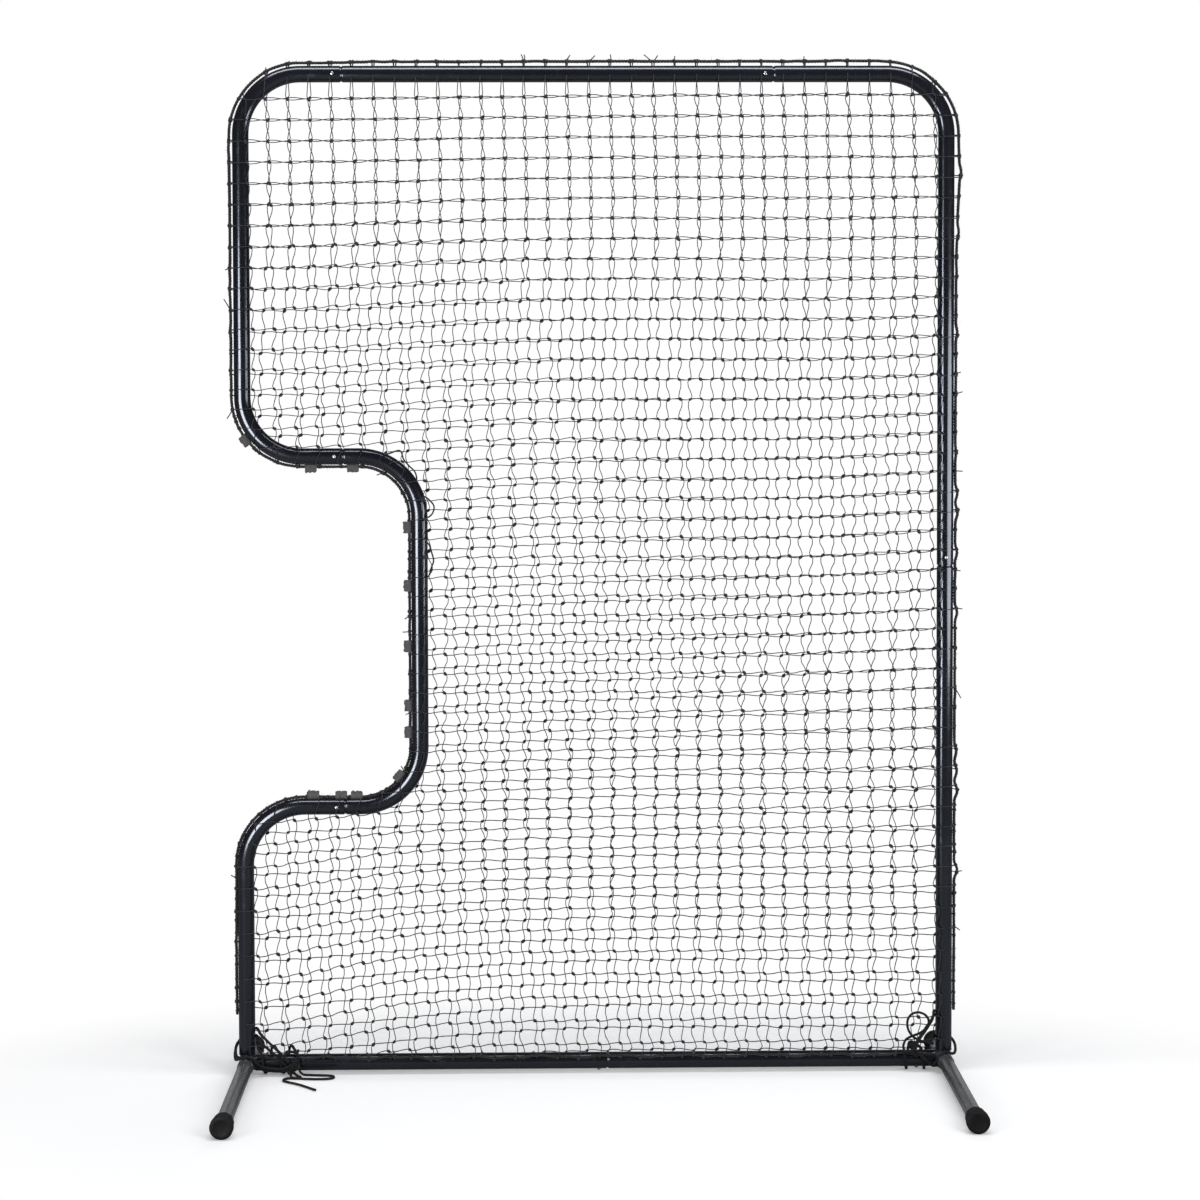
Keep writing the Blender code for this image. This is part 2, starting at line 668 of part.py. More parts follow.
# The free ends of the ties, from where they leave the bottom rail: the left one goes down to the floor
# and lies there in a bow, the right one goes up and round in a loop that leans on the net
LEFT_BOW = (
    (-0.6324, -0.0250, 0.0233),
    (-0.6322, -0.0251, 0.0165),
    (-0.6301, -0.0258, 0.0092),
    (-0.6245, -0.0270, 0.0047),
    (-0.6165, -0.0284, TIE_LIE_Z),
    (-0.5840, -0.0330, TIE_LIE_Z),
    (-0.5700, -0.0348, TIE_LIE_Z),
    (-0.5605, -0.0392, TIE_LIE_Z),
    (-0.5565, -0.0480, TIE_LIE_Z),
    (-0.5603, -0.0568, TIE_LIE_Z),
    (-0.5700, -0.0612, TIE_LIE_Z),
    (-0.5930, -0.0625, TIE_LIE_Z),
    (-0.6200, -0.0590, TIE_LIE_Z),
    (-0.6390, -0.0550, TIE_LIE_Z),
    (-0.6530, -0.0560, TIE_LIE_Z),
    (-0.6610, -0.0640, TIE_LIE_Z),
    (-0.6605, -0.0760, TIE_LIE_Z),
    (-0.6480, -0.0880, TIE_LIE_Z),
    (-0.6240, -0.1080, TIE_LIE_Z),
    (-0.5880, -0.1500, TIE_LIE_Z),
)
RIGHT_BOW = (
    (0.6569, -0.0252, 0.0473),
    (0.6558, -0.0250, 0.0570),
    (0.6610, -0.0244, 0.0690),
    (0.6740, TIE_LEAN_Y, 0.0765),
    (0.6910, TIE_LEAN_Y, 0.0830),
    (0.7050, TIE_LEAN_Y, 0.0940),
    (0.7100, TIE_LEAN_Y, 0.1080),
    (0.7035, TIE_LEAN_Y, 0.1210),
    (0.6890, TIE_LEAN_Y, 0.1275),
    (0.6745, -0.0242, 0.1245),
    (0.6655, -0.0252, 0.1140),
    (0.6638, -0.0266, 0.1005),
    (0.6675, -0.0290, 0.0875),
    (0.6765, -0.0302, 0.0765),
    (0.6900, -0.0292, 0.0685),
    (0.7040, -0.0262, 0.0636),
    (0.7180, TIE_LEAN_Y, 0.0610),
)


def make_tie(side, sign, facing, steps, bow):
    """Turns of cord round the bottom rail and the net's edge on it, down or up to where the bow starts."""
    half_turn = (
        (0.0, 0.0545),
        (-0.0120, 0.0545),
        (-0.0195, 0.0540),
        (-0.0238, 0.0520),
        (-0.0252, 0.0470),
        (-0.0250, 0.0236),
        (-0.0180, 0.0072),
        (0.0, RAIL_Z - TUBE_RADIUS - TIE_RADIUS - MEET_GAP),
    )
    turn = list(half_turn) + [(-y, z) for y, z in reversed(half_turn[1:-1])]
    start_x = -UPRIGHT_X + TIE_START
    path = []
    for step in range(steps):
        y, z = turn[step % len(turn)]
        path.append(Vector((sign * (start_x + TIE_PITCH * step / len(turn)), facing * y, z)))
    rings = []
    for i, point in enumerate(path):
        tangent = (path[min(i + 1, len(path) - 1)] - path[max(i - 1, 0)]).normalized()
        across = tangent.cross(Vector((1, 0, 0))).normalized()
        up = across.cross(tangent)
        angles = [2 * math.pi * k / TIE_SIDES for k in range(TIE_SIDES)]
        rings.append([point + (across * math.cos(a) + up * math.sin(a)) * TIE_RADIUS for a in angles])
    rod(f"{side}_tie", rings, TIE_CORD, TIE_SIDES)
    make_cord(f"{side}_tie_bow", bow)


def stand_over_origin():
    """Moves every piece back with the frame's plane, so that the origin is midway between the feet's ends."""
    holder = bpy.data.objects.new("screen", None)
    holder.location.y = FRAME_Y
    for made in list(bpy.data.objects):
        if made is not holder:
            made.parent = holder
    bpy.context.scene.collection.objects.link(holder)


def main():
    clear_scene()
    pieces = make_frame_tubes()
    for side, x in (("left", -UPRIGHT_X), ("right", UPRIGHT_X)):
        pieces[f"{side}_foot_bracket"] = make_bracket(side, x)
        pieces[f"{side}_leg"] = make_leg(side, x)
        for end, facing in (("front", -1), ("rear", 1)):
            make_cap(side, end, x, facing)
    make_buttons(pieces)
    make_net("net_front", -1, CUT_X + FRONT_SHIFT_X, CUT_BOTTOM_Z + FRONT_SHIFT_Z)
    make_net("net_back", 1, CUT_X, CUT_BOTTOM_Z)
    make_border_rope()
    make_tabs()
    make_tie("left", 1, 1, LEFT_TIE_STEPS, LEFT_BOW)
    make_tie("right", -1, -1, RIGHT_TIE_STEPS, RIGHT_BOW)
    stand_over_origin()


main()
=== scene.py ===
"""Looks of the pitching screen: gloss black tube in slip-jointed lengths, satin feet in rubber caps, two
layers of knotted net hung on a fuzzy border rope, hook-and-loop tabs and corner ties. Metres, +Z up, the
pitcher's side faces -Y, the cut-out is at -X. Pieces are drawn about the frame's own plane, at FRAME_Y."""

from math import atan2, cos, pi, radians, sin, sqrt

import bpy
import numpy as np
from mathutils import Matrix, Vector, noise


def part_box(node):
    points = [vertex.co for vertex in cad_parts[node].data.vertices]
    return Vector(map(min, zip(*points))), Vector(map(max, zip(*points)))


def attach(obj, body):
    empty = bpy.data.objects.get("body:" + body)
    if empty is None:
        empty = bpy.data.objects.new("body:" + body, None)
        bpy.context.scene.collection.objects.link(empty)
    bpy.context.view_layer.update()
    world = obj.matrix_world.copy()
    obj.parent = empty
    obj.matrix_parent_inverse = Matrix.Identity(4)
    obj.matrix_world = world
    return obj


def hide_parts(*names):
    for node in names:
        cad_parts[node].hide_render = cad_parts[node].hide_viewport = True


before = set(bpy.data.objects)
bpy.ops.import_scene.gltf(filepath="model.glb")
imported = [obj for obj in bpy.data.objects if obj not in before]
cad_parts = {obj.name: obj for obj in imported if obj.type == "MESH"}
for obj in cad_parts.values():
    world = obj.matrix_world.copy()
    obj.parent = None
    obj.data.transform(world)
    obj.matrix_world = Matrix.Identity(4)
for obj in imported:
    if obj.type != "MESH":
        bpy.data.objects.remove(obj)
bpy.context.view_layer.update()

# Sizes and places of the frame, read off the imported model
LOW, HIGH = 0, 1
TUBE_RADIUS = (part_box("lower_right_tube")[HIGH].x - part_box("lower_right_tube")[LOW].x) / 2
FRAME_Y = (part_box("lower_right_tube")[HIGH].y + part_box("lower_right_tube")[LOW].y) / 2
UPRIGHT_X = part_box("lower_right_tube")[HIGH].x - TUBE_RADIUS
RAIL_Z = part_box("bottom_rail_left")[HIGH].z - TUBE_RADIUS
TOP_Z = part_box("top_rail_tube")[HIGH].z - TUBE_RADIUS
CUT_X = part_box("cutout_tube")[HIGH].x - TUBE_RADIUS
CUT_TOP_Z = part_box("cutout_tube")[HIGH].z - TUBE_RADIUS
CUT_BOTTOM_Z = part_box("cutout_tube")[LOW].z + TUBE_RADIUS
LEFT_SEAM_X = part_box("upper_left_tube")[HIGH].x
TOP_SEAM_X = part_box("top_rail_tube")[HIGH].x
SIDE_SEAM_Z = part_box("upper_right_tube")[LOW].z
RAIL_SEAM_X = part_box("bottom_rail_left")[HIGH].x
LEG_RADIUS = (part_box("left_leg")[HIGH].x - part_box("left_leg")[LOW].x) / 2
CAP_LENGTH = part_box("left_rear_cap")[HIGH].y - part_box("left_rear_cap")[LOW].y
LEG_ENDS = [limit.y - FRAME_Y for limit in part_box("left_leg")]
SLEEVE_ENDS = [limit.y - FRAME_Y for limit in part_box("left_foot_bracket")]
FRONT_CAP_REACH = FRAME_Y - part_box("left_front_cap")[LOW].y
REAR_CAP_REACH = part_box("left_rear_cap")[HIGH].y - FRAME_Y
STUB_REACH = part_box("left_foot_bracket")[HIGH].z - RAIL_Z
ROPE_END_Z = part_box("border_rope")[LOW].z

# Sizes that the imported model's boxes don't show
BEND_RADIUS = 0.127
TUBE_WALL = 0.0015
NECK_RADIUS = 0.0157
NECK_BORE = 0.0142
NECK_LENGTH = 0.070
SHOULDER = 0.004
SEAM_GAP = 0.002
BUTT_GAP = 0.0006
SLEEVE_BORE = 0.0161
CAP_BORE = 0.0165
CAP_END = 0.0055
LIP_ROUND = 0.0005
BUTTON_SETBACK = 0.016
STUB_BUTTON = 0.058
LEG_BUTTON = 0.034
PIN_RADIUS = 0.0038
PIN_HOLE = 0.0045
BUTTON_PROUD = 0.0035
BUTTON_DOME = 0.0021
DOME_POWER = 0.8
FLANGE_RADIUS = 0.0052
FLANGE_TOP = 0.0124
FLANGE_THICKNESS = 0.0012
FLANGE_EDGE = 0.0002
PIN_FILLET = 0.0003
LEAF_HALF_WIDTH = 0.004
LEAF_THICKNESS = 0.0008
LEAF_LENGTH = 0.022
LEAF_END = 0.005
LEAF_GAP = 0.00005

# How finely round things are cut
TUBE_SIDES = 48
BEND_STEPS = 22
NECK_STEPS = 6
CAP_SIDES = 64
PIN_SIDES = 28
DOME_STEPS = 8
CORD_SIDES = 10

Y_AXIS, Z_AXIS = Vector((0, 1, 0)), Vector((0, 0, 1))
SMOOTH_ANGLE = radians(38)


def put(name, data):
    """A new object in the scene."""
    made = bpy.data.objects.new(name, data)
    bpy.context.scene.collection.objects.link(made)
    return made


# Camera, at the photograph's angle. The image is taken as 1200 x 1200
CAMERA_AT = (-0.1085, -6.1027, 1.5982)
CAMERA_PITCH = radians(2.635)
CAMERA_YAW = radians(1.121)
CAMERA_ROLL = radians(-0.119)
CAMERA_LENS = 86.5
CAMERA_SHIFT_Y = -0.12


def make_camera():
    camera = bpy.data.cameras.new("camera")
    camera.sensor_width = 36
    camera.lens = CAMERA_LENS
    camera.shift_y = CAMERA_SHIFT_Y
    camera.clip_end = 200
    made = put("camera", camera)
    made.location = Vector(CAMERA_AT) + FRAME_Y * Y_AXIS
    turned = Matrix.Rotation(-CAMERA_YAW, 3, "Z") @ Matrix.Rotation(pi / 2 - CAMERA_PITCH, 3, "X")
    made.rotation_euler = (turned @ Matrix.Rotation(CAMERA_ROLL, 3, "Z")).to_euler()
    bpy.context.scene.camera = made


# Materials

def new_material(name):
    made = bpy.data.materials.new(name)
    made.use_nodes = True
    return made, made.node_tree, made.node_tree.nodes["Principled BSDF"]


def feed(tree, socket, value):
    """Gives an input a value, or another node's output."""
    if isinstance(value, bpy.types.NodeSocket):
        tree.links.new(value, socket)
    else:
        socket.default_value = value


def add_node(tree, kind, *inputs, **values):
    """A new node's outputs. Its inputs are given in their order or by name, where an underscore stands for a
    space. Any other name is a setting."""
    made = tree.nodes.new("ShaderNode" + kind)
    named = {}
    for key, value in values.items():
        socket = key.replace("_", " ")
        if socket in made.inputs:
            named[socket] = value
        else:
            setattr(made, key, value)
    for socket, value in (*enumerate(inputs), *named.items()):
        feed(tree, made.inputs[socket], value)
    return made.outputs


def noise_value(tree, scale, detail=4.0, roughness=0.55, stretch=(1, 1, 1)):
    """A noise's value, from the piece's own coordinates, drawn out along an axis by a small stretch."""
    where = add_node(tree, "TexCoord")["Object"]
    drawn = add_node(tree, "Mapping", Vector=where, Scale=stretch)["Vector"]
    return add_node(tree, "TexNoise", Vector=drawn, Scale=scale, Detail=detail, Roughness=roughness)["Fac"]


def pattern_value(tree, kind, output, values):
    """The value of another pattern than noise, from the piece's own coordinates."""
    return add_node(tree, kind, Vector=add_node(tree, "TexCoord")["Object"], **values)[output]


def ramp(tree, value, stops):
    """Colours over a value, each stop a place and a colour or a grey."""
    made = tree.nodes.new("ShaderNodeValToRGB")
    elements = made.color_ramp.elements
    while len(elements) < len(stops):
        elements.new(0.5)
    for element, (place, colour) in zip(elements, stops):
        element.position = place
        element.color = (*colour, 1) if isinstance(colour, tuple) else (colour, colour, colour, 1)
    tree.links.new(value, made.inputs["Fac"])
    return made.outputs["Color"]


def surface(name, tone, shades, wear, dulls, bumps, **values):
    """A material: shades over one noise, roughness over another, and bumps, each a noise or another pattern
    with its strength and distance. The values are the shader's own."""
    made, tree, shader = new_material(name)
    values["Base_Color"] = ramp(tree, noise_value(tree, *tone), shades)
    values["Roughness"] = ramp(tree, noise_value(tree, *wear), dulls)
    below = {}
    for pattern, strength, distance in bumps:
        read = pattern_value if isinstance(pattern[0], str) else noise_value
        height = read(tree, *pattern)
        bump = add_node(tree, "Bump", Strength=strength, Distance=distance, Height=height, **below)
        below = {"Normal": bump["Normal"]}
    for key, value in (values | below).items():
        feed(tree, shader.inputs[key.replace("_", " ")], value)
    return made


def pebbles(scale):
    return ("TexVoronoi", "Distance", {"Scale": scale})


def fibre(name, dark, light, scale, lay, fuzz):
    """Twisted or braided fibre: short slanting strands in the bump, uneven dye, and a soft sheen."""
    slant = {"Scale": lay, "Distortion": 3.0, "Detail": 2.0, "bands_direction": "DIAGONAL"}
    return surface(
        name, (scale, 6, 0.7), ((0.32, dark), (0.70, light)), (scale * 3, 3), ((0.3, 0.68), (0.7, 0.92)),
        ((("TexWave", "Fac", slant), 0.5, 0.0006), ((scale * 8, 4, 0.7), 0.5, 0.0005)),
        Specular_IOR_Level=0.3, Sheen_Weight=fuzz, Sheen_Roughness=0.4,
    )


# Gloss black on drawn tube: faint blue cast, orange peel, long shallow waves and dulled scuffs
BLACK = surface(
    "black_enamel", (7, 3), ((0.3, (0.0055, 0.0060, 0.0090)), (0.7, (0.0095, 0.0100, 0.0140))),
    (60, 8, 0.72, (1, 1, 0.35)), ((0.0, 0.15), (0.56, 0.20), (0.74, 0.42)),
    (((26, 2, 0.4), 0.10, 0.004), ((900, 2), 0.05, 0.0002)),
    Specular_IOR_Level=0.62, Specular_Tint=(0.80, 0.88, 1.0, 1),
    Coat_Weight=0.45, Coat_Roughness=0.12, Coat_Tint=(0.88, 0.93, 1.0, 1),
)
# Satin enamel on the feet, rubbed and dusty. Its charcoal grey, lighter than the frame's black, is painted
# reflection of the bright floor
FOOT = surface(
    "foot_enamel", (22, 6, 0.65, (1, 0.3, 1)),
    ((0.3, (0.062, 0.063, 0.066)), (0.62, (0.095, 0.097, 0.101)), (0.8, 0.145)),
    (140, 6, 0.7, (1, 0.15, 1)), ((0.35, 0.20), (0.75, 0.40)), (((700, 3), 0.12, 0.0003),),
    Metallic=0.25, Coat_Weight=0.3, Coat_Roughness=0.16,
)
# Matt moulded rubber with a pebbled skin and dust in it
RUBBER = surface(
    "cap_rubber", (45, 6, 0.7), ((0.35, 0.004), (0.6, 0.007), (0.8, 0.018)),
    (220, 4), ((0.3, 0.52), (0.7, 0.8)),
    ((pebbles(900.0), 0.25, 0.0003), ((60, 4), 0.15, 0.0008)), Specular_IOR_Level=0.22,
)
ZINC = surface(
    "bright_zinc", (420, 6, 0.6), ((0.3, (0.58, 0.60, 0.62)), (0.7, (0.82, 0.83, 0.84))),
    (900, 3), ((0.3, 0.16), (0.7, 0.34)), (((1500, 2), 0.08, 0.0001),), Metallic=1.0,
)
SPRING = surface(
    "blued_spring", (90, 5), ((0.3, (0.20, 0.22, 0.28)), (0.7, (0.36, 0.37, 0.40))),
    (500, 3), ((0.3, 0.26), (0.7, 0.44)), (((800, 2), 0.1, 0.0001),), Metallic=1.0,
)
TWINE = fibre("net_twine", (0.009, 0.009, 0.016), (0.032, 0.032, 0.048), 300, 700, 0.2)
ROPE = fibre("border_rope", (0.007, 0.007, 0.010), (0.026, 0.026, 0.032), 220, 420, 0.35)
CORD = fibre("tie_cord", (0.003, 0.003, 0.004), (0.010, 0.010, 0.011), 240, 520, 0.03)
# Grey hook-and-loop tape: a fine weave under a nap of loops
WEAVE = ("TexWave", "Fac", {"Scale": 420.0, "Distortion": 1.5})
TAPE = surface(
    "woven_tape", (260, 6, 0.7), ((0.3, 0.040), (0.55, 0.070), (0.8, 0.120)),
    (400, 3), ((0.3, 0.78), (0.7, 0.96)),
    ((WEAVE, 0.4, 0.0004), (pebbles(1100.0), 0.7, 0.0006)), Sheen_Weight=0.5,
)


# Meshes

class Shape:
    """Points and faces that are collected for one mesh."""

    def __init__(self, points=(), faces=()):
        self.points, self.faces = list(points), list(faces)

    def add(self, points, faces):
        first = len(self.points)
        self.points.extend(points)
        self.faces.extend(tuple(first + k for k in face) for face in faces)


def new_mesh(name, points, faces):
    mesh = bpy.data.meshes.new(name)
    mesh.from_pydata([(p[0], p[1] + FRAME_Y, p[2]) for p in points], [], faces)
    return mesh


def smooth(mesh, sharp=SMOOTH_ANGLE):
    mesh.shade_smooth()
    mesh.set_sharp_from_angle(angle=sharp)


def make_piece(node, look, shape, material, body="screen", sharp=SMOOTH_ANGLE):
    """What is seen of a node, as one mesh. It gets its finish and the body that it moves with."""
    mesh = new_mesh(f"{node}_{look}", shape.points, shape.faces)
    smooth(mesh, sharp)
    mesh.materials.append(material)
    made = put(mesh.name, mesh)
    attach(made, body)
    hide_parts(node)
    return made


def angles_round(sides):
    return [2 * pi * k / sides for k in range(sides)]


def ring(centre, tangent, normal, radius, sides):
    """A ring of points round a centre, square to the tangent."""
    tangent = tangent.normalized()
    across = normal.cross(tangent).normalized()
    up = tangent.cross(across)
    return [centre + (across * cos(a) + up * sin(a)) * radius for a in angles_round(sides)]


def skin(count, sides, closed=False):
    """The faces between rings that follow one another. When closed, the last one joins the first."""
    faces = []
    for i in range(count if closed else count - 1):
        a, b = i * sides, (i + 1) % count * sides
        for k in range(sides):
            n = (k + 1) % sides
            faces.append((a + k, a + n, b + n, b + k))
    return faces


def capped(count, sides):
    """The faces of rings that follow one another, with a flat end on the first and on the last."""
    last = (count - 1) * sides
    return skin(count, sides) + [tuple(reversed(range(sides))), tuple(range(last, last + sides))]


def smooth_route(points, per_span):
    """A smooth curve through a route's own points."""
    points = [Vector(p) for p in points]
    ends = [points[0] * 2 - points[1], *points, points[-1] * 2 - points[-2]]
    route = []
    for p0, p1, p2, p3 in zip(ends, ends[1:], ends[2:], ends[3:]):
        for step in range(per_span):
            t = step / per_span
            bend = (2 * p0 - 5 * p1 + 4 * p2 - p3) * t**2 + (3 * p1 - p0 - 3 * p2 + p3) * t**3
            route.append(p1 + ((p2 - p0) * t + bend) * 0.5)
    return route + [points[-1]]


def rounded(corners):
    """The polyline through corners in the XZ plane, with each inner corner turned on the bend's radius."""
    corners = [Vector((x, 0, z)) for x, z in corners]
    points = [corners[0]]
    for before, at, after in zip(corners, corners[1:], corners[2:]):
        inward, outward = (before - at).normalized(), (after - at).normalized()
        centre = at + (inward + outward) * BEND_RADIUS
        for step in range(BEND_STEPS + 1):
            turn = pi / 2 * step / BEND_STEPS
            points.append(centre - (outward * cos(turn) + inward * sin(turn)) * BEND_RADIUS)
    return points + [corners[-1]]


def hollow(stations, normal):
    """A tube with a bore. A station is a centre, a tangent, and its radii outside and inside."""
    points = []
    for centre, tangent, outside, _ in stations:
        points += ring(centre, tangent, normal, outside, TUBE_SIDES)
    for centre, tangent, _, inside in reversed(stations):
        points += ring(centre, tangent, normal, inside, TUBE_SIDES)
    return Shape(points, [tuple(reversed(f)) for f in skin(2 * len(stations), TUBE_SIDES, closed=True)])


def rounded_ends(path, outside, inside):
    """The stations of a plain tube along a path, with its end edges taken off."""
    ends = [path[0], *path, path[-1]]
    stations = []
    for before, point, after in zip(ends, ends[1:], ends[2:]):
        stations.append((point, (after - before).normalized(), outside, inside))
    for end, sign in ((0, 1), (-1, -1)):
        point, tangent = stations[end][:2]
        stations[end] = (point + tangent * LIP_ROUND * sign, tangent, outside, inside)
        stations.insert(len(stations) * -end, (point, tangent, outside - LIP_ROUND, inside))
    return stations


def add_neck(stations, at_start):
    """A drawn-down neck past a tube's end, behind a shoulder that slopes in an S."""
    place, tangent = (stations[0] if at_start else stations[-1])[:2]
    outward = -tangent if at_start else tangent
    added = []
    for k in range(1, NECK_STEPS + 1):
        share = k / NECK_STEPS
        ease = share * share * (3 - 2 * share)
        outside = TUBE_RADIUS + (NECK_RADIUS - TUBE_RADIUS) * ease
        inside = TUBE_RADIUS - TUBE_WALL + (NECK_BORE - TUBE_RADIUS + TUBE_WALL) * ease
        added.append((place + outward * SHOULDER * share, tangent, outside, inside))
    tip = place + outward * (SHOULDER + NECK_LENGTH + SEAM_GAP)
    added.append((tip - outward * LIP_ROUND, tangent, NECK_RADIUS, NECK_BORE))
    added.append((tip, tangent, NECK_RADIUS - LIP_ROUND, NECK_BORE))
    if at_start:
        return list(reversed(added)) + stations[1:]
    return stations[:-1] + added


# Snap buttons: name, place on the tube's axis, directions out and along the leaf, and the nodes that it locks

def snap_buttons():
    front, left, up, down = (0, -1, 0), (-1, 0, 0), (0, 0, 1), (0, 0, -1)
    left_x = LEFT_SEAM_X - BUTTON_SETBACK
    right_x = TOP_SEAM_X - BUTTON_SETBACK
    side_place = (UPRIGHT_X, 0, SIDE_SEAM_Z + BUTTON_SETBACK)
    rail_place = (RAIL_SEAM_X - BUTTON_SETBACK, 0, RAIL_Z)
    buttons = [
        ("top_left", (left_x, 0, TOP_Z), front, left, ("upper_left_tube", "top_rail_tube")),
        ("cutout_upper", (left_x, 0, CUT_TOP_Z), front, left, ("upper_left_tube", "cutout_tube")),
        ("cutout_lower", (left_x, 0, CUT_BOTTOM_Z), front, left, ("lower_left_tube", "cutout_tube")),
        ("top_right", (right_x, 0, TOP_Z), front, left, ("top_rail_tube", "upper_right_tube")),
        ("right_side", side_place, front, up, ("upper_right_tube", "lower_right_tube")),
        ("rail_centre", rail_place, down, left, ("bottom_rail_left", "bottom_rail_right")),
    ]
    for side, sign in (("left", -1), ("right", 1)):
        bracket = f"{side}_foot_bracket"
        x = sign * UPRIGHT_X
        rail_place = (x - sign * STUB_BUTTON, 0, RAIL_Z)
        buttons += [
            (f"{side}_upright", (x, 0, RAIL_Z + STUB_BUTTON), (0, 1, 0), up, (f"lower_{side}_tube", bracket)),
            (f"rail_{side}", rail_place, down, (-sign, 0, 0), (f"bottom_rail_{side}", bracket)),
            (f"{side}_leg", (x, LEG_BUTTON, RAIL_Z), up, (0, 1, 0), (bracket, f"{side}_leg")),
        ]
    return buttons


def make_snap_button(name, place, out, along):
    """A domed pin on a flange with its leaf, drawn with X along the tube and Z out of its wall."""
    out, along = Vector(out), Vector(along)
    turn = Matrix((along, out.cross(along), out)).transposed().to_4x4()
    to_world = Matrix.Translation(Vector(place)) @ turn
    flange_z = FLANGE_TOP - FLANGE_THICKNESS
    profile = [
        (flange_z, FLANGE_RADIUS - FLANGE_EDGE),
        (flange_z + FLANGE_EDGE, FLANGE_RADIUS),
        (FLANGE_TOP - FLANGE_EDGE, FLANGE_RADIUS),
        (FLANGE_TOP, FLANGE_RADIUS - FLANGE_EDGE),
        (FLANGE_TOP, PIN_RADIUS + PIN_FILLET),
        (FLANGE_TOP + PIN_FILLET, PIN_RADIUS),
    ]
    dome_z = TUBE_RADIUS + BUTTON_PROUD - BUTTON_DOME
    for k in range(DOME_STEPS):
        turn = pi / 2 * k / DOME_STEPS
        profile.append((dome_z + BUTTON_DOME * sin(turn), PIN_RADIUS * cos(turn) ** DOME_POWER))
    points = []
    for z, radius in profile:
        for angle in angles_round(PIN_SIDES):
            points.append(to_world @ Vector((radius * cos(angle), radius * sin(angle), z)))
    shape = Shape(points, capped(len(profile), PIN_SIDES))
    leaf_z = flange_z - LEAF_GAP
    leaf = []
    for x in (-LEAF_END, LEAF_LENGTH):
        for y, z in ((-1, 0), (1, 0), (1, 1), (-1, 1)):
            leaf.append(to_world @ Vector((x, y * LEAF_HALF_WIDTH, leaf_z - LEAF_THICKNESS * (1 - z))))
    shape.add(leaf, capped(2, 4))
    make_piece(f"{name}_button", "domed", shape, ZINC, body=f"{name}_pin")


DRILL_ENDS = (0.006, 0.030)


def drill(pieces):
    """Cuts each button's hole through one wall of the tubes that it locks."""
    for name, place, out, _, nodes in snap_buttons():
        out = Vector(out)
        across = Vector((1, 0, 0)) if out.y else Y_AXIS
        points = []
        for reach in DRILL_ENDS:
            points += ring(Vector(place) + out * reach, out, across, PIN_HOLE, PIN_SIDES)
        drill_bit = put(f"{name}_drill", new_mesh(f"{name}_drill", points, capped(2, PIN_SIDES)))
        for node in nodes:
            cut = pieces[node].modifiers.new("hole", "BOOLEAN")
            cut.operation = "DIFFERENCE"
            cut.solver = "EXACT"
            cut.object = drill_bit
        bpy.context.view_layer.update()
        for node in nodes:
            piece = pieces[node]
            evaluated = piece.evaluated_get(bpy.context.evaluated_depsgraph_get())
            drilled = bpy.data.meshes.new_from_object(evaluated)
            piece.modifiers.clear()
            piece.data = drilled
            smooth(drilled)
        bpy.data.objects.remove(drill_bit)


# Frame

def make_frame():
    step = SEAM_GAP + SHOULDER
    foot_z = RAIL_Z + TUBE_RADIUS + BUTT_GAP
    rail_end = UPRIGHT_X - TUBE_RADIUS - BUTT_GAP
    x, left = UPRIGHT_X, LEFT_SEAM_X
    cut = [(left + step, CUT_TOP_Z), (CUT_X, CUT_TOP_Z), (CUT_X, CUT_BOTTOM_Z), (left + step, CUT_BOTTOM_Z)]
    # Node, corners of its route, and whether it has a neck at its start and at its end
    routes = (
        ("upper_left_tube", [(left, TOP_Z), (-x, TOP_Z), (-x, CUT_TOP_Z), (left, CUT_TOP_Z)], False, False),
        ("top_rail_tube", [(left + step, TOP_Z), (TOP_SEAM_X, TOP_Z)], True, False),
        ("upper_right_tube", [(TOP_SEAM_X + step, TOP_Z), (x, TOP_Z), (x, SIDE_SEAM_Z)], True, False),
        ("lower_right_tube", [(x, foot_z), (x, SIDE_SEAM_Z - step)], False, True),
        ("cutout_tube", cut, True, True),
        ("lower_left_tube", [(left, CUT_BOTTOM_Z), (-x, CUT_BOTTOM_Z), (-x, foot_z)], False, False),
        ("bottom_rail_left", [(-rail_end, RAIL_Z), (RAIL_SEAM_X, RAIL_Z)], False, False),
        ("bottom_rail_right", [(RAIL_SEAM_X + step, RAIL_Z), (rail_end, RAIL_Z)], True, False),
    )
    made = {}
    for node, corners, neck_at_start, neck_at_end in routes:
        stations = rounded_ends(rounded(corners), TUBE_RADIUS, TUBE_RADIUS - TUBE_WALL)
        if neck_at_start:
            stations = add_neck(stations, True)
        if neck_at_end:
            stations = add_neck(stations, False)
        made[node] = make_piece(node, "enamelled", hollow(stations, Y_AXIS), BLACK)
    return made


# Feet

BEAD_SIDES = 6
BEAD_SIZE = 0.0021
BEAD_LEAST = 0.0003
BEAD_RIPPLE = 0.0003
BEAD_RIPPLES = 26
COPE_DEPTH = 0.0006


